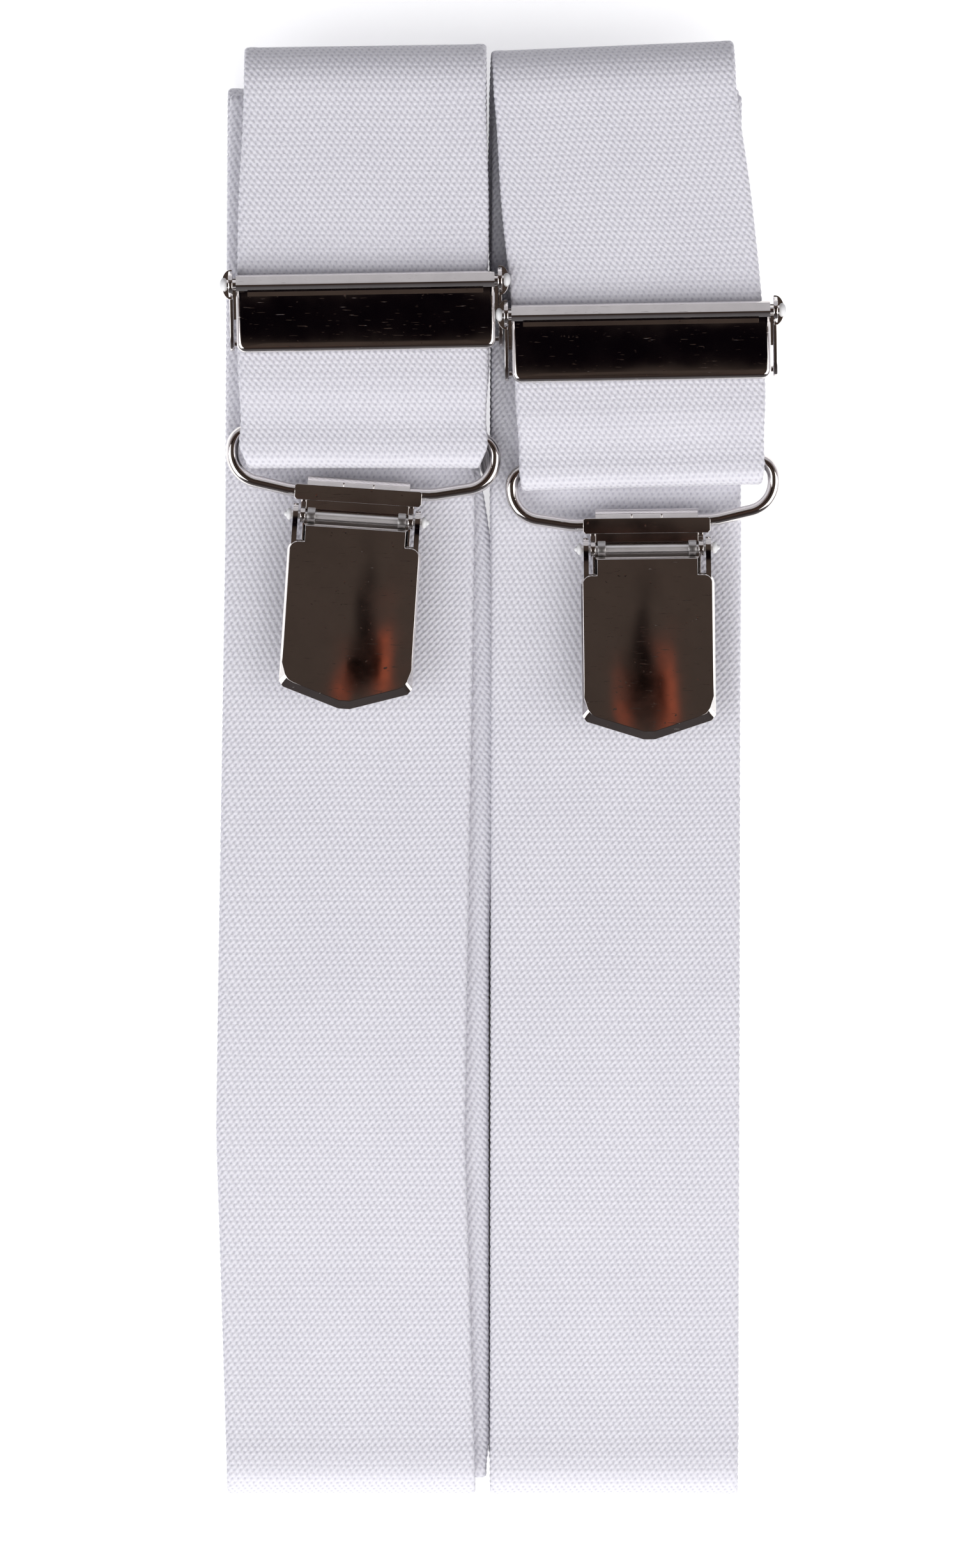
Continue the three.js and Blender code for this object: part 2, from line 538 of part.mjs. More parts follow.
function flap() {
  const topFace = FLAP_ROLL_R;
  const side = (x0, x1) => sidePlate([[0, topFace - 0.2], [-FLAP_LENGTH + 0.1, topFace - 0.2],
    [-FLAP_LENGTH + 0.1, 0.2], [-FLAP_LENGTH + 1, -0.7], [-1.2, -0.7], [0, 0.2]], x0, x1);
  const face = sidePlate([[0, topFace - FLAP_SHEET], [0, topFace], [-FLAP_LENGTH + 0.6, topFace],
    [-FLAP_LENGTH, topFace - 0.6], [-FLAP_LENGTH, -0.3], [-FLAP_LENGTH + FLAP_SHEET, -0.3],
    [-FLAP_LENGTH + FLAP_SHEET, topFace - FLAP_SHEET]], -SLIDE_HALF, SLIDE_HALF);
  const roll = rod(FLAP_ROLL_R, -SLIDE_HALF, SLIDE_HALF, 0, 0, 20);
  const teethCount = 14;
  const span = SLIDE_HALF - 1.6;
  const pitch = 2 * span / teethCount;
  const low = -FLAP_ROLL_R;
  const comb = [[-span, 0.9]];
  for (let i = 0; i < teethCount; i += 1) {
    comb.push([-span + i * pitch, low + 0.6], [-span + (i + 0.5) * pitch, low]);
  }
  comb.push([span, low + 0.6], [span, 0.9]);
  const shape = new THREE.Shape(comb.map(([x, z]) => new THREE.Vector2(x, z)));
  const teeth = new THREE.ExtrudeGeometry(shape, { depth: 0.6, bevelEnabled: false });
  teeth.rotateX(Math.PI / 2).translate(0, -1.2, 0);
  const whole = join(face, side(SLIDE_HALF - 0.6, SLIDE_HALF), side(-SLIDE_HALF, -SLIDE_HALF + 0.6), roll,
    solid(teeth));
  return cut(whole, rod(PIN_HOLE_R, -SLIDE_HALF - 1, SLIDE_HALF + 1, 0, 0));
}

// ---- assembly ------------------------------------------------------------------------
const finishes = {
  webbing: new THREE.MeshStandardMaterial({ color: 0xe4e3ea, roughness: 0.9, metalness: 0 }),
  leather: new THREE.MeshStandardMaterial({ color: 0xe9e6e2, roughness: 0.6, metalness: 0 }),
  chrome: new THREE.MeshStandardMaterial({ color: 0xb9b5b2, roughness: 0.12, metalness: 1 }),
  steel: new THREE.MeshStandardMaterial({ color: 0xa8a4a0, roughness: 0.3, metalness: 1 }),
  rubber: new THREE.MeshStandardMaterial({ color: 0x2b2b2e, roughness: 0.7, metalness: 0 }),
};

function piece(name, body, finish) {
  const mesh = new THREE.Mesh(geometryOf(body), finishes[finish].clone());
  mesh.name = name;
  return mesh;
}

function place(group, x, y, z, turn, flipped = false) {
  group.position.set(x, y, z);
  group.rotation.order = 'ZYX';
  group.rotation.set(0, flipped ? Math.PI : 0, rad(turn));
  return group;
}

// Where the lower bar of a ring lies when its upper bar is at (x, y).
function lowerBar(x, y, turn) {
  return [x + RING_DROP * Math.sin(rad(turn)), y - RING_DROP * Math.cos(rad(turn))];
}

function clipSet(name, x, y, level, ringTurn, clipTurn, clipShift, flipped) {
  const ringGroup = place(new THREE.Group(), x, y, level, ringTurn, flipped);
  ringGroup.name = `${name}_ring_place`;
  ringGroup.add(piece(`${name}_ring`, ring(), 'chrome'));
  const [lowX, lowY] = lowerBar(x, y, ringTurn);
  const clipGroup = place(new THREE.Group(), lowX + clipShift, lowY + clipShift * Math.sin(rad(ringTurn)),
    level, clipTurn, flipped);
  clipGroup.name = `${name}_clip_place`;
  clipGroup.add(
    piece(`${name}_clip_body`, clipBody(), 'chrome'), piece(`${name}_clip_pin`, clipPin(), 'chrome'),
    piece(`${name}_clip_lever`, lever(), 'chrome'), piece(`${name}_clip_jaw`, jaw(), 'steel'),
    piece(`${name}_clip_pad`, gripPad(), 'rubber'));
  return [ringGroup, clipGroup];
}

const bundle = new THREE.Group();
bundle.add(
  piece('left_strap', strap('left'), 'webbing'), piece('right_strap', strap('right'), 'webbing'),
  piece('back_patch_inner', patch(true), 'leather'), piece('back_patch_outer', patch(false), 'leather'));

for (const side of ['left', 'right']) {
  const front = FRONT[side];
  const middle = middleOf[side];
  bundle.add(...clipSet(`front_${side}`, middle + front.ring[0], front.ring[1], frontBase + wireLevel,
    turnOf(front.ringSkew), front.clipTurn, front.clipShift, false));
  const slide = place(new THREE.Group(), middle + front.slide[0], front.slide[1],
    frontBase + slidePinLevel, front.slideTurn);
  slide.name = `${side}_slide_place`;
  slide.add(
    piece(`${side}_slide_frame`, slideFrame(), 'chrome'), piece(`${side}_slide_pin`, slidePin(), 'chrome'),
    piece(`${side}_slide_flap`, flap(), 'chrome'), piece(`${side}_strap_end`, strapEnd(), 'webbing'));
  bundle.add(slide);
  const rear = REAR[side];
  bundle.add(...clipSet(`rear_${side}`, middle + along(rear.run, rear.loopY),
    rear.loopY + slotHalf + STRAP_THICK + REAR_RING_RISE, crossingCrest - wireLevel,
    turnOf(rear.ringSkew), rear.clipTurn, 0, true));
}

// The origin is under the middle of the bundle, on the surface that it lies on.
bundle.updateMatrixWorld(true);
const bounds = new THREE.Box3().setFromObject(bundle, true);
bundle.position.set(-(bounds.min.x + bounds.max.x) / 2, -(bounds.min.y + bounds.max.y) / 2, -bounds.min.z);

export default bundle;
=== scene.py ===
import json
import math
import bpy
import numpy as np
from mathutils import Matrix, Vector


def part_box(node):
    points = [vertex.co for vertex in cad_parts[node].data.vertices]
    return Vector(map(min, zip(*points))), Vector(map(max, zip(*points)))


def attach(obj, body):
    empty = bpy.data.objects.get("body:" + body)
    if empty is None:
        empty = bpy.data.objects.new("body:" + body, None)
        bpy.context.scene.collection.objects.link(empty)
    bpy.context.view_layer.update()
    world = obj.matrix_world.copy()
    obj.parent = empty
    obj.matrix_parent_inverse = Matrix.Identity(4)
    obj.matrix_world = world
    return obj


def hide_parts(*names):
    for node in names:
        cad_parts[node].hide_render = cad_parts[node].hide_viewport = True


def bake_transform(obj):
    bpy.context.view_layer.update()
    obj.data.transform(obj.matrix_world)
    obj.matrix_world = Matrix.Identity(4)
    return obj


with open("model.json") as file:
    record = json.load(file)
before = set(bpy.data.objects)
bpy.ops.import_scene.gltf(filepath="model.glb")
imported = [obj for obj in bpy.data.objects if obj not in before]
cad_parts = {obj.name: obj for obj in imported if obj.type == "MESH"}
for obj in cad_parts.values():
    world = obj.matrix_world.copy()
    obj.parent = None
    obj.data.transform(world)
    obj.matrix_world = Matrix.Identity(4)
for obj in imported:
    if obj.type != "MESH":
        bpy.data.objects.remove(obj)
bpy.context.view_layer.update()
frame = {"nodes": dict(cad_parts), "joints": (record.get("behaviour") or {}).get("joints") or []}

# ---- Straps -------------------------------------------------------------------------------
# Two lengths of 35 mm knitted elastic, woven white with a corded selvedge on each edge. Each
# is one ribbon, laid along its folds, round its two rings and across the back to the other side.
MM = 0.001
STRAP_HALF = 0.0175
WALE = 0.000909                 # knit repeat across the strap
COURSE = 0.001807               # knit repeat along the strap
SELVEDGE_PITCH = 0.00092
SELVEDGE_DEPTH = 0.00014
STRAP_STEP = 0.00025
SNUG = 0.00095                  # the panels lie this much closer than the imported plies
TABLE_CLEAR = 0.0001            # the lowest ply lies on the table, not in it
FOLD_Y = 0.088                  # beyond this, a ply is in one of the top folds
SNUG_Y = 0.060                  # a panel starts to move sideways below this
SNUG_RAMP = 0.05
BEAD_SHARE = 0.24               # how much each wave of the knit adds to its height
ROW_SHARE = 0.08
WALE_SHARE = 0.07
FIBRE_SHARE = 0.5
GAP_SHADE_LEVEL = 0.42                # lower than this, the knit counts as a gap, which the colour darkens as painted shade


def deselect():
    bpy.ops.object.select_all(action="DESELECT")


def node_group(name, inputs, outputs):
    group = bpy.data.node_groups.new(name, "ShaderNodeTree")
    for label, kind in inputs:
        group.interface.new_socket(label, in_out="INPUT", socket_type=kind)
    for label, kind in outputs:
        group.interface.new_socket(label, in_out="OUTPUT", socket_type=kind)
    return group, group.nodes.new("NodeGroupInput"), group.nodes.new("NodeGroupOutput")


def math_node(tree, operation, a, b=None, c=None, clamp=False):
    node = tree.nodes.new("ShaderNodeMath")
    node.operation = operation
    node.use_clamp = clamp
    for i, value in enumerate((a, b, c)):
        if value is None:
            continue
        if isinstance(value, (int, float)):
            node.inputs[i].default_value = value
        else:
            tree.links.new(value, node.inputs[i])
    return node.outputs[0]


def noise_node(tree, vector, scale, detail=3.0, roughness=0.55):
    node = tree.nodes.new("ShaderNodeTexNoise")
    node.inputs["Scale"].default_value = scale
    node.inputs["Detail"].default_value = detail
    node.inputs["Roughness"].default_value = roughness
    tree.links.new(vector, node.inputs["Vector"])
    return node.outputs["Fac"]


def ramp_node(tree, value, stops):
    node = tree.nodes.new("ShaderNodeValToRGB")
    ramp = node.color_ramp
    while len(ramp.elements) < len(stops):
        ramp.elements.new(0.5)
    for element, (place, colour) in zip(ramp.elements, stops):
        element.position = place
        element.color = (*colour, 1)
    tree.links.new(value, node.inputs["Fac"])
    return node.outputs["Color"]


def new_material(name):
    material = bpy.data.materials.new(name)
    material.use_nodes = True
    tree = material.node_tree
    return material, tree, tree.nodes["Principled BSDF"]


def bump_node(tree, height, distance, strength=1.0):
    node = tree.nodes.new("ShaderNodeBump")
    node.inputs["Distance"].default_value = distance
    node.inputs["Strength"].default_value = strength
    tree.links.new(height, node.inputs["Height"])
    return node.outputs["Normal"]


# The knit: rows of small beads, each row a third of a repeat beside the last, and deeper
# cords along both edges. Outputs how high the yarn stands and how deep its gaps are, which the colour
# paints as shade.
knit, knit_in, knit_out = node_group(
    "knit", [("Across", "NodeSocketFloat"), ("Along", "NodeSocketFloat"), ("Fibre", "NodeSocketFloat"),
             ("Drift", "NodeSocketFloat")],
    [("Height", "NodeSocketFloat"), ("Gap Shade", "NodeSocketFloat")])
turns_across = math_node(knit, "MULTIPLY", knit_in.outputs["Across"], 2 * math.pi / WALE)
turns_along = math_node(knit, "MULTIPLY", knit_in.outputs["Along"], 2 * math.pi / COURSE)
wander = math_node(knit, "MULTIPLY_ADD", knit_in.outputs["Drift"], 2.2, turns_along)
twill = math_node(knit, "COSINE", math_node(knit, "SUBTRACT", wander, turns_across))
steep = math_node(knit, "COSINE", math_node(knit, "MULTIPLY_ADD", wander, 2.0, turns_across))
rows = math_node(knit, "COSINE", math_node(knit, "MULTIPLY", wander, 2.0))
wales = math_node(knit, "COSINE", turns_across)
beads = math_node(knit, "ADD", math_node(knit, "MULTIPLY", twill, BEAD_SHARE),
                  math_node(knit, "MULTIPLY", steep, BEAD_SHARE))
beads = math_node(knit, "MULTIPLY_ADD", rows, ROW_SHARE, beads)
beads = math_node(knit, "MULTIPLY_ADD", wales, WALE_SHARE, beads)
beads = math_node(knit, "MULTIPLY_ADD", knit_in.outputs["Fibre"], FIBRE_SHARE, beads)
height = math_node(knit, "ADD", beads, 0.25, clamp=True)
knit.links.new(height, knit_out.inputs["Height"])
gap_shade = math_node(knit, "SUBTRACT", GAP_SHADE_LEVEL, height, clamp=True)
knit.links.new(gap_shade, knit_out.inputs["Gap Shade"])

webbing, tree, shader = new_material("white_webbing")
uv = tree.nodes.new("ShaderNodeUVMap")
uv.uv_map = "UVMap"
split = tree.nodes.new("ShaderNodeSeparateXYZ")
tree.links.new(uv.outputs["UV"], split.inputs["Vector"])
weave = tree.nodes.new("ShaderNodeGroup")
weave.node_tree = knit
tree.links.new(split.outputs["X"], weave.inputs["Across"])
tree.links.new(split.outputs["Y"], weave.inputs["Along"])
tree.links.new(noise_node(tree, uv.outputs["UV"], 5200.0, 2.0), weave.inputs["Fibre"])
tree.links.new(noise_node(tree, uv.outputs["UV"], 55.0, 1.0), weave.inputs["Drift"])
cloud = noise_node(tree, uv.outputs["UV"], 90.0, 4.0)
# Painted shade: the colour is darkened in the gaps between the knit's beads, over a random tone from the
# cloud noise.
tone_and_gap_shade = math_node(tree, "MULTIPLY_ADD", cloud, 0.16, math_node(tree, "MULTIPLY", weave.outputs["Gap Shade"], -1.3))
colour = ramp_node(tree, math_node(tree, "ADD", tone_and_gap_shade, 0.62, clamp=True),
                   [(0.0, (0.47, 0.46, 0.53)), (0.45, (0.66, 0.65, 0.705)), (1.0, (0.86, 0.85, 0.885))])
tree.links.new(colour, shader.inputs["Base Color"])
tree.links.new(bump_node(tree, weave.outputs["Height"], 0.00016, 0.9), shader.inputs["Normal"])
shader.inputs["Roughness"].default_value = 0.82
shader.inputs["Sheen Weight"].default_value = 0.12
shader.inputs["Sheen Roughness"].default_value = 0.5
shader.inputs["Specular IOR Level"].default_value = 0.3


def is_across(a, b):
    """Tells an edge that crosses the strap from edge to edge from one that runs along it."""
    return abs(a[0] - b[0]) > 0.03 and abs(a[1] - b[1]) < 0.002 and abs(a[2] - b[2]) < 3e-6


def edge_line(node, side):
    """Walks one edge of a packed strap and gives the middle of its thickness, station by station."""
    mesh = frame["nodes"][node].data
    points = [tuple(round(c, 6) for c in v.co) for v in mesh.vertices]
    walls = []
    edge = set()
    for face in mesh.polygons:
        ring = [points[i] for i in face.vertices]
        across = [(a, b) for a, b in zip(ring, ring[1:] + ring[:1]) if is_across(a, b)]
        if across:
            walls.append(ring)
            edge.update(max(pair, key=lambda point: point[0] * side) for pair in across)
    follow = {a: b for ring in walls for a, b in zip(ring, ring[1:] + ring[:1])
              if a in edge and b in edge}
    walk = [next(iter(follow))]
    while follow[walk[-1]] != walk[0] and len(walk) <= len(follow):
        walk.append(follow[walk[-1]])
    walk = np.array(walk)
    count = len(walk)
    places = np.arange(count)
    spread = [np.ptp(np.linalg.norm(walk - walk[(k - places) % count], axis=1))
              for k in range(1, count, 2)]
    pair = 1 + 2 * int(np.argmin(spread))
    start = (pair - 1) // 2
    steps = np.arange(count // 2)
    return (walk[(start - steps) % count] + walk[(pair - start + steps) % count]) / 2


def strap_edges(node):
    """Both edges of a packed strap, from its front end to its rear end."""
    left, right = edge_line(node, -1), edge_line(node, 1)
    if abs(left[0, 2] - right[0, 2]) > 1e-5:
        right = right[::-1]
    if left[0, 2] < left[-1, 2]:
        left, right = left[::-1], right[::-1]
    keep = np.append(True, np.linalg.norm(np.diff((left + right)[:, 1:], axis=0), axis=1) > 1e-4)
    return left[keep], right[keep]


def smooth_line(points, at, wanted):
    """A smooth curve through points, which lie at distances `at`, read at the wanted distances."""
    gaps = np.diff(at)[:, None]
    slopes = np.diff(points, axis=0) / gaps
    inner = (slopes[1:] * gaps[:-1] + slopes[:-1] * gaps[1:]) / (gaps[1:] + gaps[:-1])
    tangents = np.vstack([slopes[:1], inner, slopes[-1:]])
    i = np.clip(np.searchsorted(at, wanted, side="right") - 1, 0, len(at) - 2)
    t = ((wanted - at[i]) / gaps[i, 0])[:, None]
    h = gaps[i]
    return ((2 * t**3 - 3 * t**2 + 1) * points[i] + (t**3 - 2 * t**2 + t) * h * tangents[i]
            + (3 * t**2 - 2 * t**3) * points[i + 1] + (t**3 - t**2) * h * tangents[i + 1])


# Across the strap: place from the edge (mm) or as a share of the half width, and how far the
# face stands from the middle (mm). The edge is rounded and carries a raised cord.
SELVEDGE = [(0.0, 0.0), (0.07, 0.30), (0.36, 0.52), (1.1, 0.56), (1.75, 0.50)]
CORD_WIDTH = 1.2
FACE_HEIGHT = 0.5
FLAT_AT = 0.45


def lay_ribbon(name, left, right, start_at=0.0):
    """A ribbon of webbing whose edges follow two lines. Gives the piece and its length."""
    middle = (left + right) / 2
    at = np.concatenate([[0], np.cumsum(np.linalg.norm(np.diff(middle[:, 1:], axis=0), axis=1))])
    length = float(at[-1])
    rows = int(length / STRAP_STEP) + 1
    wanted = np.linspace(0, length, rows)
    l, r = smooth_line(left, at, wanted), smooth_line(right, at, wanted)
    centre, half = (l + r) / 2, np.linalg.norm(r - l, axis=1) / 2
    across = (r - l) / (2 * half[:, None])
    forward = np.gradient(centre, axis=0)
    forward[:, 0] = 0
    forward /= np.linalg.norm(forward, axis=1)[:, None]
    up = np.cross(across, forward)
    up /= np.linalg.norm(up, axis=1)[:, None]
    run = wanted + start_at
    scallop = np.abs(np.sin(np.pi * run / SELVEDGE_PITCH)) ** 0.7 * SELVEDGE_DEPTH
    loop = [(-1, d, h) for d, h in SELVEDGE] + [(-1, FLAT_AT, FACE_HEIGHT), (0, 0, FACE_HEIGHT)] \
        + [(1, FLAT_AT, FACE_HEIGHT)] + [(1, d, h) for d, h in SELVEDGE[::-1]]
    loop = loop + [(s, d, -h) for s, d, h in loop[-2:0:-1]] + [loop[0]]
    cols = len(loop)
    co = np.zeros((rows, cols, 3))
    us = np.zeros((rows, cols))
    for j, (s, d, h) in enumerate(loop):
        if s == 0:
            a = np.zeros(rows)
        elif (d, abs(h)) in SELVEDGE:
            share = max(0.0, 1 - d / CORD_WIDTH)
            a = s * (half - SELVEDGE_DEPTH * 0.7 + scallop * share - d * MM)
        else:
            a = s * half * d
        co[:, j] = centre + across * a[:, None] + up * h * MM
        co[:, j, 2] = np.maximum(co[:, j, 2], TABLE_CLEAR)
        us[:, j] = a + STRAP_HALF
    deselect()
    bpy.ops.mesh.primitive_grid_add(x_subdivisions=cols - 1, y_subdivisions=rows - 1, size=1)
    ribbon = bpy.context.object
    ribbon.name = name
    mesh = ribbon.data
    mesh.vertices.foreach_set("co", co.astype(np.float32).ravel())
    index = np.zeros(len(mesh.loops), np.int32)
    mesh.loops.foreach_get("vertex_index", index)
    uvs = np.stack([us.ravel()[index], (run[:, None] + np.zeros(cols)).ravel()[index]], axis=1)
    mesh.uv_layers[0].data.foreach_set("uv", uvs.astype(np.float32).ravel())
    bpy.ops.object.mode_set(mode="EDIT")
    bpy.ops.mesh.select_all(action="SELECT")
    bpy.ops.mesh.remove_doubles(threshold=1e-7)
    bpy.ops.mesh.select_all(action="SELECT")
    bpy.ops.mesh.fill_holes(sides=0)
    bpy.ops.mesh.select_all(action="SELECT")
    bpy.ops.mesh.normals_make_consistent(inside=False)
    bpy.ops.object.mode_set(mode="OBJECT")
    bpy.ops.object.shade_smooth_by_angle(angle=math.radians(60))
    mesh.materials.append(webbing)
    return ribbon, length


def draw_together(left, right):
    """Moves the run inside the left panel towards the right strap, which it lies against."""
    y = left[:, 1]
    tops = np.flatnonzero(y > FOLD_Y)
    turn = int(np.argmax(np.diff(tops) > 1))
    inside = np.zeros(len(y))
    inside[tops[turn]:tops[turn + 1]] = 1
    shift = inside * np.clip((SNUG_Y - y) / SNUG_RAMP, 0, 1) * SNUG
    for line in (left, right):
        line[:, 0] += shift


straps = {}
for side in ("left", "right"):
    left, right = strap_edges(f"{side}_strap")
    if side == "left":
        draw_together(left, right)
    ribbon, length = lay_ribbon(f"{side}_strap_webbing", left, right)
    straps[side] = (left, right)
    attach(ribbon, "webbing")
    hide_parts(f"{side}_strap")

# ---- Sewn ends at the slides -------------------------------------------------------------
# The front end of each strap comes back from its ring under itself, wraps the bar of the
# slide and is sewn down.
SEWN_START = 0.003              # where along the knit the ply begins

for side in ("left", "right"):
    free = straps[side]
    left, right = (line[::-1] for line in strap_edges(f"{side}_strap_end"))
    joint_end = (free[0][0], free[1][0])
    stub = (left[0].copy(), right[0].copy())
    left = np.vstack([joint_end[0], (joint_end[0] + left[0]) / 2, left])
    right = np.vstack([joint_end[1], (joint_end[1] + right[0]) / 2, right])
    ribbon, length = lay_ribbon(f"{side}_sewn_end", left, right, start_at=SEWN_START)
    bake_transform(ribbon)
    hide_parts(f"{side}_strap_end")

# ---- Back patch --------------------------------------------------------------------------
# Two plates of white grained leather, one on each face of the crossing of the straps. Their
# edges are cut and painted, and one line of thread is sewn through both, near the edge.
PATCH_EDGE = 0.00035
STITCH_INSET = 0.0024
STITCH_LENGTH = 0.0021
STITCH_PITCH = 0.0029
THREAD_R = 0.00028
STITCH_RISE = 0.00009           # pulled tight, the thread stands this far out of the leather
PROBE = 0.01                    # stitches are dropped onto the plate from this far off

leather, tree, shader = new_material("patch_leather")
coords = tree.nodes.new("ShaderNodeTexCoord").outputs["Object"]
pores = tree.nodes.new("ShaderNodeTexVoronoi")
pores.feature = "DISTANCE_TO_EDGE"
pores.inputs["Scale"].default_value = 1300
tree.links.new(coords, pores.inputs["Vector"])
# Painted shade: the colour is darkened along the grain's creases, which the bump also sinks; the rest of
# the tone varies at random.
creases = math_node(tree, "MINIMUM", pores.outputs["Distance"], 0.18)
tone_and_crease_shade = math_node(tree, "MULTIPLY_ADD", noise_node(tree, coords, 160.0), 0.5, creases)
tree.links.new(ramp_node(tree, tone_and_crease_shade, [(0.15, (0.55, 0.53, 0.50)), (0.45, (0.80, 0.78, 0.75))]),
               shader.inputs["Base Color"])
tree.links.new(bump_node(tree, creases, 0.0004, 0.8), shader.inputs["Normal"])
tree.links.new(math_node(tree, "MULTIPLY_ADD", noise_node(tree, coords, 700.0), 0.25, 0.38),
               shader.inputs["Roughness"])

thread, tree, shader = new_material("sewing_thread")
coords = tree.nodes.new("ShaderNodeTexCoord").outputs["Object"]
strands = noise_node(tree, coords, 6000.0, 2.0)
tree.links.new(ramp_node(tree, strands, [(0.3, (0.60, 0.59, 0.62)), (0.7, (0.86, 0.85, 0.88))]),
               shader.inputs["Base Color"])
tree.links.new(bump_node(tree, strands, 0.0001), shader.inputs["Normal"])
shader.inputs["Roughness"].default_value = 0.6


def apply_modifier(piece, kind, **values):
    """Adds a modifier to a piece, sets it and applies it."""
    deselect()
    piece.select_set(True)
    bpy.context.view_layer.objects.active = piece
    modifier = piece.modifiers.new(kind.title(), kind)
    for name, value in values.items():
        setattr(modifier, name, value)
    bpy.ops.object.modifier_apply(modifier=modifier.name)


def copy_of(model, name):
    """A copy of a model with a mesh of its own."""
    copy = model.copy()
    copy.data = model.data.copy()
    copy.name = name
    bpy.context.scene.collection.objects.link(copy)
    return copy


def join_all(name, pieces):
    """Joins pieces into one, which takes the name."""
    deselect()
    for piece in pieces:
        piece.select_set(True)
    bpy.context.view_layer.objects.active = pieces[0]
    if len(pieces) > 1:
        bpy.ops.object.join()
    bpy.context.object.name = name
    return bpy.context.object


def smooth(piece, angle):
    deselect()
    piece.select_set(True)
    bpy.context.view_layer.objects.active = piece
    bpy.ops.object.shade_smooth_by_angle(angle=math.radians(angle))


deselect()
bpy.ops.mesh.primitive_cylinder_add(vertices=8, radius=THREAD_R, depth=STITCH_LENGTH,
                                    rotation=(0, math.pi / 2, 0))
stitch = bpy.context.object
bpy.ops.object.transform_apply(location=True, rotation=True, scale=True)
apply_modifier(stitch, "BEVEL", width=THREAD_R * 0.8, segments=2, limit_method="ANGLE")
smooth(stitch, 60)
stitch.data.materials.append(thread)

for plate_name, sign in (("back_patch_inner", 1), ("back_patch_outer", -1)):
    node = frame["nodes"][plate_name]
    plate = copy_of(node, f"{plate_name}_leather")
    plate.data.materials.clear()
    deselect()
    plate.select_set(True)
    bpy.context.view_layer.objects.active = plate
    bpy.ops.object.mode_set(mode="EDIT")
    bpy.ops.mesh.select_all(action="SELECT")
    bpy.ops.mesh.remove_doubles(threshold=1e-6)
    bpy.ops.mesh.dissolve_limited(angle_limit=math.radians(1))
    bpy.ops.object.mode_set(mode="OBJECT")
    low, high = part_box(plate_name)
    middle = (Vector(low) + Vector(high)) / 2
    half_x = (high[0] - low[0]) / 2 - STITCH_INSET
    half_y = (high[1] - low[1]) / 2 - STITCH_INSET
    stitches = []
    across_count = int(2 * half_x / STITCH_PITCH)
    along_count = int(2 * half_y / STITCH_PITCH)
    spots = [(2 * half_x * (i + 0.5) / across_count - half_x, s * half_y, 0)
             for i in range(across_count) for s in (-1, 1)]
    spots += [(s * half_x, 2 * half_y * (i + 0.5) / along_count - half_y, 90)
              for i in range(along_count) for s in (-1, 1)]
    for x, y, turn in spots:
        start = Vector((middle.x + x, middle.y + y, middle.z + sign * PROBE))
        hit, at, normal, _ = node.ray_cast(start, Vector((0, 0, -sign)))
        if not hit:
            continue
        one = copy_of(stitch, "stitch")
        normal = normal * sign if normal.z * sign > 0 else Vector((0, 0, 1))
        tilt = Vector((0, 0, 1)).rotation_difference(normal).to_matrix().to_4x4()
        one.data.transform(Matrix.Translation(at - Vector((0, 0, sign * (THREAD_R - STITCH_RISE))))
                           @ tilt @ Matrix.Rotation(math.radians(turn), 4, "Z"))
        stitches.append(one)
    apply_modifier(plate, "BEVEL", width=PATCH_EDGE, segments=3, limit_method="ANGLE",
                   angle_limit=math.radians(50))
    smooth(plate, 40)
    plate.data.materials.append(leather)
    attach(plate, "webbing")
    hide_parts(plate_name)
    if stitches:
        seam = join_all(f"{plate_name}_stitching", stitches)
        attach(seam, "webbing")
bpy.data.objects.remove(stitch)

# ---- Wire rings --------------------------------------------------------------------------
# Each ring is steel wire, bent on a former and chromed. Its bar lies in the strap's loop and
# its two ends meet inside the rolled tab of the clip.
WIRE_R = 0.9
RING_HALF = 18.4
RING_DROP = 8.2
RING_FLAT_HALF = 9.9
RING_TOP_CORNER = 2.6
RING_LOWER_CORNER = 4.2
RING_LEG_RISE = 0.91
WIRE_GAP_HALF = 0.15            # the two ends of the wire, inside the tab
BEND_HALF = 0.5                 # the length over which the bar turns into the leg
CLIPS = ("front_left", "front_right", "rear_left", "rear_right")

# Pressed and polished metal: faint polishing waves, fine scratches, and a slightly duller film.
STREAK_FLOOR = 0.69             # only noise above this leaves a scratch
SPECK_FLOOR = 0.74
polish, polish_in, polish_out = node_group(
    "polish", [("Place", "NodeSocketVector"), ("Scratches", "NodeSocketFloat")],
    [("Height", "NodeSocketFloat"), ("Film", "NodeSocketFloat")])
place = polish_in.outputs["Place"]
waves = noise_node(polish, place, 70.0, 1.0)
streak_map = polish.nodes.new("ShaderNodeMapping")
streak_map.inputs["Rotation"].default_value = (0, 0, math.radians(28))
streak_map.inputs["Scale"].default_value = (1.0, 14.0, 1.0)
polish.links.new(place, streak_map.inputs["Vector"])
streaks = math_node(polish, "SUBTRACT", noise_node(polish, streak_map.outputs["Vector"], 420.0, 2.0),
                    STREAK_FLOOR, clamp=True)
specks = math_node(polish, "SUBTRACT", noise_node(polish, place, 1500.0, 1.0), SPECK_FLOOR, clamp=True)
marks = math_node(polish, "MULTIPLY", math_node(polish, "ADD", streaks, specks),
                  polish_in.outputs["Scratches"])
polish.links.new(math_node(polish, "SUBTRACT", waves, marks), polish_out.inputs["Height"])
film = math_node(polish, "MULTIPLY_ADD", noise_node(polish, place, 240.0, 3.0), 0.10,
                 math_node(polish, "MULTIPLY", marks, 1.2))
polish.links.new(film, polish_out.inputs["Film"])


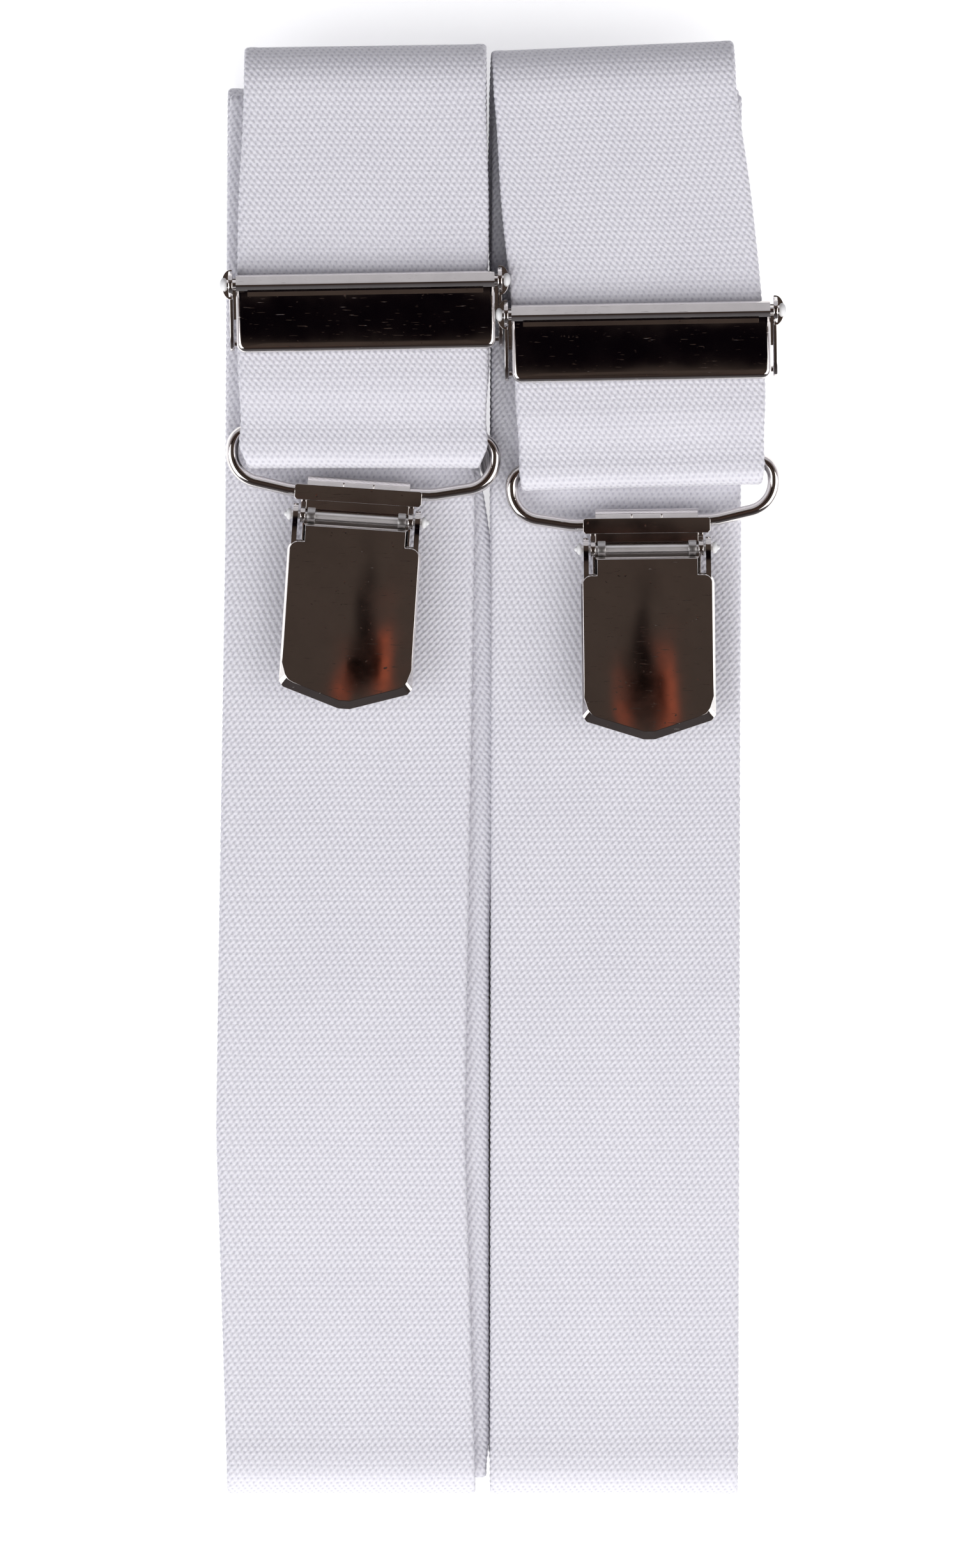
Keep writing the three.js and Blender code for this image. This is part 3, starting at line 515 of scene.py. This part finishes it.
def polished(name, tint, roughness, wave_height, scratches):
    """A bright metal finish with its own tint, roughness and wear."""
    material, tree, shader = new_material(name)
    coords = tree.nodes.new("ShaderNodeTexCoord").outputs["Object"]
    wear = tree.nodes.new("ShaderNodeGroup")
    wear.node_tree = polish
    tree.links.new(coords, wear.inputs["Place"])
    wear.inputs["Scratches"].default_value = scratches
    tree.links.new(bump_node(tree, wear.outputs["Height"], wave_height), shader.inputs["Normal"])
    tree.links.new(math_node(tree, "ADD", wear.outputs["Film"], roughness), shader.inputs["Roughness"])
    dark = tuple(0.93 * c for c in tint)
    tree.links.new(ramp_node(tree, noise_node(tree, coords, 320.0), [(0.35, dark), (0.65, tint)]),
                   shader.inputs["Base Color"])
    shader.inputs["Metallic"].default_value = 1.0
    return material


bright_pin = polished("bright_pin", (0.97, 0.96, 0.95), 0.40, 0.00004, 0.3)
chrome = polished("polished_chrome", (0.80, 0.77, 0.75), 0.02, 0.00008, 0.8)


def arc(x, y, radius, start, end, count):
    """Points along an arc, from one angle to another in degrees."""
    turns = np.radians(np.linspace(start, end, count))
    return [(x + radius * math.cos(turn), y + radius * math.sin(turn)) for turn in turns]


def mirrored(right_half):
    """A closed outline from its right half."""
    return right_half + [(-x, y) for x, y in right_half[::-1]]


def fit(model, name, joint, body, node):
    """Copies a model made at the origin to its joint: the joint's axis is the model's -X."""
    found = next(j for j in frame["joints"] if j["name"] == joint)
    x_axis = -Vector(found["axis"])
    z_axis = Vector((0, 0, -1 if joint.startswith("rear") else 1))
    turn = Matrix((x_axis, z_axis.cross(x_axis), z_axis)).transposed().to_4x4()
    piece = copy_of(model, name)
    piece.data.transform(Matrix.Translation(found["pos_m"]) @ turn)
    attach(piece, body)
    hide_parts(node)


corner_x = RING_HALF - RING_LOWER_CORNER
lean = math.degrees(math.atan(RING_LEG_RISE / (corner_x - RING_FLAT_HALF)))
half_wire = [(WIRE_GAP_HALF, -RING_DROP), (RING_FLAT_HALF - BEND_HALF, -RING_DROP),
             (RING_FLAT_HALF + BEND_HALF, -RING_DROP + 0.1)]
half_wire += arc(corner_x, -RING_DROP + RING_LOWER_CORNER + RING_LEG_RISE, RING_LOWER_CORNER,
                 lean - 90, 0, 16)
half_wire += arc(RING_HALF - RING_TOP_CORNER, -RING_TOP_CORNER, RING_TOP_CORNER, 0, 90, 12)
deselect()
bpy.ops.curve.primitive_bezier_curve_add()
ring = bpy.context.object
ring.data.splines.clear()
bend = ring.data.splines.new("POLY")
wire_path = mirrored(half_wire)
bend.points.add(len(wire_path) - 1)
for point, (x, y) in zip(bend.points, wire_path):
    point.co = (x * MM, y * MM, 0, 1)
ring.data.dimensions = "3D"
ring.data.bevel_depth = WIRE_R * MM
ring.data.bevel_resolution = 6
ring.data.use_fill_caps = True
bpy.ops.object.convert(target="MESH")
ring = bpy.context.object
smooth(ring, 50)
ring.data.materials.clear()
ring.data.materials.append(chrome)
for clip in CLIPS:
    fit(ring, f"{clip}_ring_wire", f"{clip}_ring_swing", f"{clip}_ring", f"{clip}_ring")
bpy.data.objects.remove(ring)

# ---- Clips -------------------------------------------------------------------------------
# Each clip is pressed from 0.7 mm steel and chromed: a body rolled round the wire, a headed
# pin through its ears, a lever with an arrow end, and inside a toothed jaw and a rubber pad.
SHEET = 0.7
ROLL_R = 1.2
CLIP_HALF = 7.6
SHOULDER_HALF = 8.9
PIN_Y = -3.7
PIN_Z = 1.4
TAB_END = -2.85                 # lower edge of the tab, just above the pin
LEVER_FACE = 3.6
LEVER_HALF = 9.35
LEVER_NECK_HALF = 7.3
ARROW_BEVEL = 0.85              # width of the sloped band along the arrow end
LEVER_CORNER = 1.5
LEVER_EAR_X = 8.2
EDGE = 0.1
FACING = 0.9                    # a face whose normal is this steep counts as level
NEAR_TOP = 0.02
ARROW_REACH = 4                 # the pressed arrow lies this near the tip of the lever
CORNER_WIDTH = 0.8
CORNER_REACH = 3.3
CORNER_PULL = 0.94
CUTS = 5                        # strips on each half of a crowned face
CREASE_ANGLE = 18

steel = polished("jaw_steel", (0.55, 0.54, 0.53), 0.28, 0.0001, 1.0)
rubber, tree, shader = new_material("grip_rubber")
coords = tree.nodes.new("ShaderNodeTexCoord").outputs["Object"]
tree.links.new(ramp_node(tree, noise_node(tree, coords, 900.0), [(0.3, (0.015, 0.015, 0.017)),
                                                                (0.8, (0.045, 0.045, 0.05))]),
               shader.inputs["Base Color"])
tree.links.new(bump_node(tree, noise_node(tree, coords, 2600.0), 0.00008), shader.inputs["Normal"])
shader.inputs["Roughness"].default_value = 0.7


def drawn(outline, start, end, along="z"):
    """A flat outline in mm, filled in and drawn out along one axis."""
    place = {"z": lambda a, b: (a, b, start), "x": lambda a, b: (start, a, b),
             "y": lambda a, b: (a, start, b)}
    shift = {"z": (0, 0, end - start), "x": (end - start, 0, 0), "y": (0, end - start, 0)}
    deselect()
    bpy.ops.mesh.primitive_circle_add(vertices=len(outline), radius=MM, fill_type="NGON")
    piece = bpy.context.object
    for vertex, (a, b) in zip(piece.data.vertices, outline):
        vertex.co = Vector(place[along](a, b)) * MM
    bpy.ops.object.mode_set(mode="EDIT")
    bpy.ops.mesh.select_all(action="SELECT")
    bpy.ops.mesh.extrude_region_move(TRANSFORM_OT_translate={"value": tuple(Vector(shift[along]) * MM)})
    bpy.ops.mesh.select_all(action="SELECT")
    bpy.ops.mesh.normals_make_consistent(inside=False)
    bpy.ops.object.mode_set(mode="OBJECT")
    return piece


def rod(radius, start, end, y, z, vertices=32):
    """A round bar in mm along X."""
    deselect()
    bpy.ops.mesh.primitive_cylinder_add(vertices=vertices, radius=radius * MM, depth=(end - start) * MM,
                                        location=((start + end) / 2 * MM, y * MM, z * MM),
                                        rotation=(0, math.pi / 2, 0))
    bpy.ops.object.transform_apply(location=True, rotation=True, scale=True)
    return bpy.context.object


def ball(radius, x, y, z, squash=1.0):
    """A domed head in mm, flattened along X."""
    deselect()
    bpy.ops.mesh.primitive_uv_sphere_add(segments=24, ring_count=14, radius=radius * MM,
                                         location=(x * MM, y * MM, z * MM), scale=(squash, 1, 1))
    bpy.ops.object.transform_apply(location=True, rotation=True, scale=True)
    return bpy.context.object


def edged(name, pieces, edge=EDGE, segments=2, angle=35, finish=chrome):
    """Joins drawn parts and takes their sharp edges off."""
    piece = join_all(name, pieces)
    apply_modifier(piece, "BEVEL", width=edge * MM, segments=segments, limit_method="ANGLE",
                   angle_limit=math.radians(angle), use_clamp_overlap=True)
    smooth(piece, 40)
    apply_modifier(piece, "WEIGHTED_NORMAL", keep_sharp=True)
    piece.data.materials.clear()
    piece.data.materials.append(finish)
    return piece


def pick_faces(piece, wanted):
    """Selects only the faces that pass a test, ready for edit mode."""
    bpy.context.scene.tool_settings.mesh_select_mode = (False, False, True)
    deselect()
    piece.select_set(True)
    bpy.context.view_layer.objects.active = piece
    for part in (*piece.data.vertices, *piece.data.edges):
        part.select = False
    for face in piece.data.polygons:
        face.select = wanted(face)


def pressed(outline, low, shoulder, top, inset, wall, arrow=0.0, crown=(0, 0), tilt=0.0, edge=0.22):
    """A dished sheet in mm: walls from low to shoulder, a sloped band, and a crowned face at top."""
    piece = drawn(outline, low, shoulder)
    level = (top - NEAR_TOP) * MM
    pick_faces(piece, lambda face: face.normal.z > FACING)
    bpy.ops.object.mode_set(mode="EDIT")
    bpy.ops.mesh.inset(thickness=inset * MM)
    bpy.ops.transform.translate(value=(0, 0, (top - shoulder) * MM))
    bpy.ops.object.mode_set(mode="OBJECT")
    on_top = [v for v in piece.data.vertices if v.co.z > level]
    lowest = min(v.co.y for v in on_top)
    for vertex in on_top:
        if arrow and vertex.co.y < lowest + ARROW_REACH * MM:
            vertex.co.y += arrow * MM
    x_half = max(v.co.x for v in on_top)
    y_low, y_high = min(v.co.y for v in on_top), max(v.co.y for v in on_top)
    y_middle, y_half = (y_low + y_high) / 2, (y_high - y_low) / 2
    cuts = [((x_half * k / CUTS, 0, 0), (1, 0, 0)) for k in range(1 - CUTS, CUTS)]
    cuts += [((0, y_middle + y_half * k / CUTS, 0), (0, 1, 0)) for k in range(1 - CUTS, CUTS)]
    for place, normal in cuts:
        pick_faces(piece, lambda face: face.center.z > level)
        bpy.ops.object.mode_set(mode="EDIT")
        bpy.ops.mesh.bisect(plane_co=place, plane_no=normal)
        bpy.ops.object.mode_set(mode="OBJECT")
    for vertex in piece.data.vertices:
        at_side = abs(vertex.co.x) > x_half - CORNER_WIDTH * MM
        at_corner = at_side and vertex.co.y < y_low + CORNER_REACH * MM
        if arrow and at_corner and vertex.co.z > level:
            vertex.co.x *= CORNER_PULL
    for vertex in piece.data.vertices:
        if vertex.co.z > level:
            u, v = vertex.co.x / x_half, (vertex.co.y - y_middle) / y_half
            vertex.co.z -= (crown[0] * u * u + crown[1] * v * v + tilt * v) * MM
    pick_faces(piece, lambda face: face.normal.z < -FACING)
    bpy.ops.object.mode_set(mode="EDIT")
    bpy.ops.mesh.delete(type="ONLY_FACE")
    bpy.ops.object.mode_set(mode="OBJECT")
    apply_modifier(piece, "BEVEL", width=edge * MM, segments=3, limit_method="ANGLE",
                   angle_limit=math.radians(CREASE_ANGLE), use_clamp_overlap=True)
    apply_modifier(piece, "SOLIDIFY", thickness=wall * MM, offset=-1.0, use_even_offset=True)
    return piece


def toothed(half, count, back, root, tip):
    """The outline of a row of teeth in mm, from -half to half."""
    pitch = 2 * half / count
    saw = [(-half, back)]
    for i in range(count):
        saw += [(-half + i * pitch, root), (-half + (i + 0.5) * pitch, tip)]
    return saw + [(half, root), (half, back)]


# Body: one C-shaped rolled tab, its stepped shoulders, the back plate and two ears.
ROLL_OUTER = ROLL_R + SHEET
ROLL_HALF = CLIP_HALF - 0.4
BACK_LIP_Y = -2.4               # the sheet leaves the roll for the back plate here
BACK_TIP = PIN_Y - 21.9
PIP_HALF = 0.12
roll_outline = [(TAB_END, ROLL_OUTER)] + arc(0, 0, ROLL_OUTER, 90, -90, 18)
roll_outline += [(BACK_LIP_Y, -ROLL_OUTER), (BACK_LIP_Y, -ROLL_R)]
roll_outline += arc(0, 0, ROLL_R, -90, 90, 18) + [(TAB_END, ROLL_R)]
roll = drawn(roll_outline, -ROLL_HALF, ROLL_HALF, "x")
shoulders = drawn(mirrored([(SHOULDER_HALF - 0.3, -1.6), (SHOULDER_HALF, -1.3), (SHOULDER_HALF, 0.35),
                            (SHOULDER_HALF - 0.25, 0.6)]), ROLL_R, ROLL_OUTER + 0.06)
back = drawn(mirrored([(0.6, BACK_TIP - 1.6), (CLIP_HALF - 1.8, BACK_TIP), (CLIP_HALF, BACK_TIP + 1.8),
                       (CLIP_HALF, -0.2)]), -ROLL_OUTER, -ROLL_R)
ear_outline = [(PIN_Y - 1.2, -ROLL_OUTER), (-ROLL_R - 0.2, -ROLL_OUTER), (-ROLL_R - 0.2, ROLL_R + 0.2),
               (PIN_Y + 0.9, ROLL_R + 0.3)] + arc(PIN_Y, PIN_Z, 1.2, 20, 180, 12)
ears = [drawn(ear_outline, x, x + SHEET, "x") for x in (-CLIP_HALF - 0.3, CLIP_HALF - 0.4)]
pips = [drawn([(x - PIP_HALF, 0.5), (x + PIP_HALF, 0.5), (x + PIP_HALF, 1.15), (x - PIP_HALF, 1.15)],
              ROLL_R, ROLL_OUTER + 0.1) for x in (-2.1, 2.1)]
clip_body = edged("clip_body_model", [roll, shoulders, back, *ears, *pips])

# Pin: a bright rod with a domed head and a peened tip at each end.
clip_pin = edged("clip_pin_model", [rod(0.6, -9.3, 9.3, PIN_Y, PIN_Z)], 0.08, finish=bright_pin)
heads = [ball(0.82, side * 9.45, PIN_Y, PIN_Z, 0.55) for side in (-1, 1)]
tips = [ball(0.36, side * 9.85, PIN_Y, PIN_Z + 0.1) for side in (-1, 1)]
clip_pin = join_all("clip_pin_model", [clip_pin, *heads, *tips])
smooth(clip_pin, 50)

# Lever: a dished face with an arrow end, and at each side an ear that reaches up to the pin.
lever_outline = mirrored([(0.8, -30.45), (8.75, -27.9), (LEVER_HALF, -27.1)]
                         + arc(LEVER_HALF - LEVER_CORNER, -8.7, LEVER_CORNER, 0, 90, 8)
                         + [(LEVER_NECK_HALF, -7.2), (LEVER_NECK_HALF, -4.9)])
shell = pressed(lever_outline, 1.4, LEVER_FACE - 0.75, LEVER_FACE, inset=0.30, wall=0.5,
                arrow=ARROW_BEVEL, crown=(0.24, 0.12))
lever_ear = arc(PIN_Y, PIN_Z, 1.6, -100, 90, 16) + [(-5.5, 3.2), (-9.7, 3.2), (-9.7, 1.5)]
lever_ears = [drawn(lever_ear, x, x + SHEET, "x") for x in (LEVER_EAR_X, -LEVER_EAR_X - SHEET)]
lever = edged("lever_model", [shell, *lever_ears], 0.06, 2, 50)

# Jaw: a flat blade that turns on the pin by a knuckle at each end, with a row of teeth.
JAW_HALF = 6.9
JAW_LOW = 0.2
JAW_TOP = 0.8
JAW_TEETH = 8
KNUCKLE = 1.1
blade = drawn([(-JAW_HALF, -24.5), (JAW_HALF, -24.5), (JAW_HALF, -4.4), (-JAW_HALF, -4.4)],
              JAW_LOW, JAW_TOP)
knuckle_ring = arc(PIN_Y, PIN_Z, 1.2, -90, 200, 20) + arc(PIN_Y, PIN_Z, 0.65, 200, -90, 14)
knuckles = [drawn(knuckle_ring, x, x + KNUCKLE, "x") for x in (-JAW_HALF, JAW_HALF - KNUCKLE)]
tongues = [drawn([(x, -4.6), (x + KNUCKLE, -4.6), (x + KNUCKLE, -3.5), (x, -3.5)], JAW_LOW, JAW_TOP)
           for x in (-JAW_HALF, JAW_HALF - KNUCKLE)]
jaw_teeth = drawn(toothed(JAW_HALF - 0.9, JAW_TEETH, 0.5, 0.3, 0.05), -24.3, -22.7, "y")
jaw = edged("jaw_model", [blade, *knuckles, *tongues, jaw_teeth], 0.06, 2, 50, steel)

for clip in CLIPS:
    joint = f"{clip}_clip_swing"
    fit(clip_body, f"{clip}_clip_plate", joint, f"{clip}_clip", f"{clip}_clip_body")
    fit(clip_pin, f"{clip}_clip_rivet", joint, f"{clip}_clip", f"{clip}_clip_pin")
    fit(lever, f"{clip}_clip_lever_shell", joint, f"{clip}_lever", f"{clip}_clip_lever")
    fit(jaw, f"{clip}_clip_jaw_plate", joint, f"{clip}_jaw", f"{clip}_clip_jaw")
    pad = frame["nodes"][f"{clip}_clip_pad"]
    pad.data.materials.clear()
    pad.data.materials.append(rubber)
for model in (clip_body, clip_pin, lever, jaw):
    bpy.data.objects.remove(model)

# ---- Adjuster slides ---------------------------------------------------------------------
# Each slide is a chromed frame, with a bar that the strap's end is sewn round, and a toothed
# flap that turns on a headed pin and grips the strap. The frame's ears flare out at the pin.
FLAP_HALF = 18.05
FLAP_LENGTH = 9.6
ROLL_TOP = 1.3
EAR_X = 18.5
EAR_SHEET = 0.6
BAR_Y = -8.0
BAR_Z = -5.1
ANVIL_TOP = -3.1
FLAP_TEETH = 14
FLAP_CORNER = 1.3
FLARE_HALF = 2.1                # the ears turn out at the pin in a D, this tall and deep
FLARE_DEPTH = 1.25

bar = rod(0.5, -EAR_X - 0.3, EAR_X + 0.3, BAR_Y, BAR_Z)
anvil = drawn([(-EAR_X - 0.3, -4.8), (EAR_X + 0.3, -4.8), (EAR_X + 0.3, 1.0), (-EAR_X - 0.3, 1.0)],
              ANVIL_TOP - 0.8, ANVIL_TOP)
slide_ear = arc(0, 0, 1.8, 0, 180, 18) + [(-1.8, ANVIL_TOP + 0.4), (-6.6, ANVIL_TOP + 0.1)]
slide_ear += arc(BAR_Y, BAR_Z, 1.1, 120, 300, 12) + [(-3.5, BAR_Z), (1.8, ANVIL_TOP - 0.9)]
slide_ears = [drawn(slide_ear, x, x + EAR_SHEET, "x") for x in (EAR_X, -EAR_X - EAR_SHEET)]
flare = [(EAR_X + 0.1, FLARE_HALF)]
flare += [(EAR_X + 0.35 + FLARE_DEPTH * math.cos(turn), FLARE_HALF * math.sin(turn))
          for turn in np.radians(np.linspace(90, -90, 15))]
flare += [(EAR_X + 0.1, -FLARE_HALF)]
flares = [drawn([(side * x, y) for x, y in flare], -1.35, -0.85) for side in (-1, 1)]
slide_frame = edged("slide_frame_model", [bar, anvil, *slide_ears, *flares], 0.12)

slide_pin = edged("slide_pin_model", [rod(0.6, -19.6, 19.6, 0, 0)], 0.08)
knobs = [ball(0.92, side * 19.75, 0, 0, 0.6) for side in (-1, 1)]
slide_pin = join_all("slide_pin_model", [slide_pin, *knobs])
smooth(slide_pin, 50)

# Flap: a pressed face, a rolled edge round the pin with a sloping top, and a comb of teeth.
flap_outline = mirrored([(16.0, -FLAP_LENGTH)]
                        + arc(FLAP_HALF - FLAP_CORNER, -FLAP_LENGTH + FLAP_CORNER, FLAP_CORNER, -90, 0, 8)
                        + [(FLAP_HALF, -0.5)])
flap_face = pressed(flap_outline, -0.7, 0.75, 1.05, inset=0.5, wall=0.5, crown=(0.02, 0.07), tilt=0.2)
flap_roll = drawn([(-0.75, 0.98), (-0.45, 1.27), (-0.2, ROLL_TOP), (0.95, 0.86)]
                  + arc(0, 0, 1.28, 38, -215, 36), -FLAP_HALF, FLAP_HALF, "x")
comb = drawn(toothed(FLAP_HALF - 1.6, FLAP_TEETH, 0.9, -0.7, -ROLL_TOP), -1.8, -1.2, "y")
flap = edged("flap_model", [flap_roll, flap_face, comb], 0.09, 2, 50)

for side in ("left", "right"):
    joint = f"{side}_flap_lift"
    fit(slide_frame, f"{side}_slide_housing", joint, f"{side}_slide", f"{side}_slide_frame")
    fit(slide_pin, f"{side}_slide_rivet", joint, f"{side}_slide", f"{side}_slide_pin")
    fit(flap, f"{side}_slide_cover", joint, f"{side}_flap", f"{side}_slide_flap")
for model in (slide_frame, slide_pin, flap):
    bpy.data.objects.remove(model)

# ---- Stage -------------------------------------------------------------------------------
# A pale painted table top, soft lights at both sides, and a dim room whose ceiling shows in the
# chrome as a light band, a dark strip and a few warm patches. The camera looks straight down.
NEAR_SLOPE = 1.6                # how quickly the room darkens towards the near side
NEAR_LEVEL = 0.95
NEAR_SHARE = 0.85
PATCH_REACH = 1.35
PATCH_RAGGED = 0.7
VIEW_LEVEL = 0.014
VIEW_DISTANCE = 1.2
VIEW_HEIGHT = 0.220
SENSOR = 36

deselect()
bpy.ops.mesh.primitive_plane_add(size=3, location=(0, 0, 0))
table = bpy.context.object
table.name = "table_top"
paint, tree, shader = new_material("pale_table")
coords = tree.nodes.new("ShaderNodeTexCoord")
tree.links.new(ramp_node(tree, noise_node(tree, coords.outputs["Object"], 3.0), [
    (0.0, (0.90, 0.90, 0.90)), (1.0, (0.93, 0.93, 0.93))]), shader.inputs["Base Color"])
shader.inputs["Roughness"].default_value = 0.9
shader.inputs["Emission Color"].default_value = (1, 1, 1, 1)
shader.inputs["Emission Strength"].default_value = 0.45
table.data.materials.append(paint)

world = bpy.data.worlds.new("studio")
bpy.context.scene.world = world
world.use_nodes = True
tree = world.node_tree
sky = tree.nodes.new("ShaderNodeTexCoord").outputs["Generated"]
parts = tree.nodes.new("ShaderNodeSeparateXYZ")
tree.links.new(sky, parts.inputs["Vector"])


def spot(x, y, half_x, half_y, blur, raggedness=26.0):
    """How much of a direction falls in an oval patch of the ceiling."""
    squares = []
    for axis, centre, half in (("X", x, half_x), ("Y", y, half_y)):
        offset = math_node(tree, "SUBTRACT", parts.outputs[axis], centre)
        squares.append(math_node(tree, "POWER", math_node(tree, "DIVIDE", offset, half), 2.0))
    away = math_node(tree, "SQRT", math_node(tree, "ADD", *squares))
    ragged = math_node(tree, "MULTIPLY_ADD", noise_node(tree, sky, raggedness), PATCH_RAGGED, away)
    return math_node(tree, "DIVIDE", math_node(tree, "SUBTRACT", PATCH_REACH, ragged), blur, clamp=True)


def mixed(factor, under, over):
    """Lays one colour over another by a factor. The upper one is a socket or three numbers."""
    mix = tree.nodes.new("ShaderNodeMix")
    mix.data_type = "RGBA"
    tree.links.new(factor, mix.inputs["Factor"])
    tree.links.new(under, mix.inputs["A"])
    if isinstance(over, tuple):
        mix.inputs["B"].default_value = (*over, 1)
    else:
        tree.links.new(over, mix.inputs["B"])
    return mix.outputs["Result"]


glow = ramp_node(tree, parts.outputs["Z"], [(0.0, (0.95, 0.95, 1.0)), (0.35, (0.62, 0.60, 0.64)),
                                            (0.72, (0.13, 0.09, 0.08)), (0.90, (0.055, 0.040, 0.034)),
                                            (1.0, (0.062, 0.045, 0.037))])
near = math_node(tree, "MULTIPLY_ADD", parts.outputs["Y"], NEAR_SLOPE, NEAR_LEVEL, clamp=True)
near_dark = math_node(tree, "SUBTRACT", 1.0, near, clamp=True)
glow = mixed(math_node(tree, "MULTIPLY", near_dark, NEAR_SHARE), glow, (0.02, 0.015, 0.014))
CEILING = [((0.0, 0.74, 1.1, 0.22, 0.3), (0.55, 0.54, 0.57)),              # light band
           ((0.0, 0.155, 0.6, 0.075, 0.25), (0.002, 0.001, 0.002)),        # dark strip
           ((0.046, -0.014, 0.024, 0.034, 0.5, 60.0), (0.30, 0.075, 0.04)),     # warm patches
           ((-0.020, -0.022, 0.024, 0.022, 0.5, 60.0), (0.22, 0.06, 0.035)),
           ((0.012, 0.020, 0.020, 0.040, 0.6, 60.0), (0.006, 0.004, 0.004)),    # shade between
           ((0.014, -0.010, 0.034, 0.018, 0.15, 75.0), (0.001, 0.001, 0.001))]
for oval, tint in CEILING:
    glow = mixed(spot(*oval), glow, tint)
room = ramp_node(tree, math_node(tree, "MULTIPLY_ADD", parts.outputs["Y"], -0.5, 0.5),
                 [(0.0, (0.04, 0.04, 0.05)), (0.5, (0.22, 0.22, 0.24)), (1.0, (0.55, 0.55, 0.56))])
rays = tree.nodes.new("ShaderNodeLightPath")
glow = mixed(rays.outputs["Is Diffuse Ray"], glow, room)
tree.links.new(glow, tree.nodes["Background"].inputs["Color"])
tree.nodes["Background"].inputs["Strength"].default_value = 1.0


def softbox(name, at, size, power, tint=(1, 1, 1), mirrored_in_metal=True):
    light = bpy.data.lights.new(name, "AREA")
    light.shape = "RECTANGLE"
    light.size, light.size_y = size
    light.energy = power
    light.color = tint
    lamp = bpy.data.objects.new(name, light)
    bpy.context.scene.collection.objects.link(lamp)
    lamp.location = at
    lamp.rotation_euler = (-Vector(at)).to_track_quat("-Z", "Y").to_euler()
    lamp.visible_glossy = mirrored_in_metal


softbox("window_left", (-1.0, -0.35, 0.92), (1.1, 1.1), 7.6, (0.97, 0.97, 1.0))
softbox("window_right", (1.0, -0.3, 0.92), (1.1, 1.1), 7.0, (1.0, 0.98, 0.98))
softbox("near_side", (0.1, -1.2, 0.8), (1.0, 0.7), 5.6, mirrored_in_metal=False)
softbox("overhead", (0.0, -0.8, 1.3), (1.4, 1.4), 7.4, mirrored_in_metal=False)

view = bpy.data.cameras.new("view")
view.sensor_fit = "VERTICAL"
view.sensor_height = SENSOR
view.lens = SENSOR * VIEW_DISTANCE / VIEW_HEIGHT
camera = bpy.data.objects.new("view", view)
camera.location = (-0.0024, -0.0020, VIEW_LEVEL + VIEW_DISTANCE)
bpy.context.scene.collection.objects.link(camera)
bpy.context.scene.camera = camera
bpy.context.scene.view_settings.view_transform = "Standard"
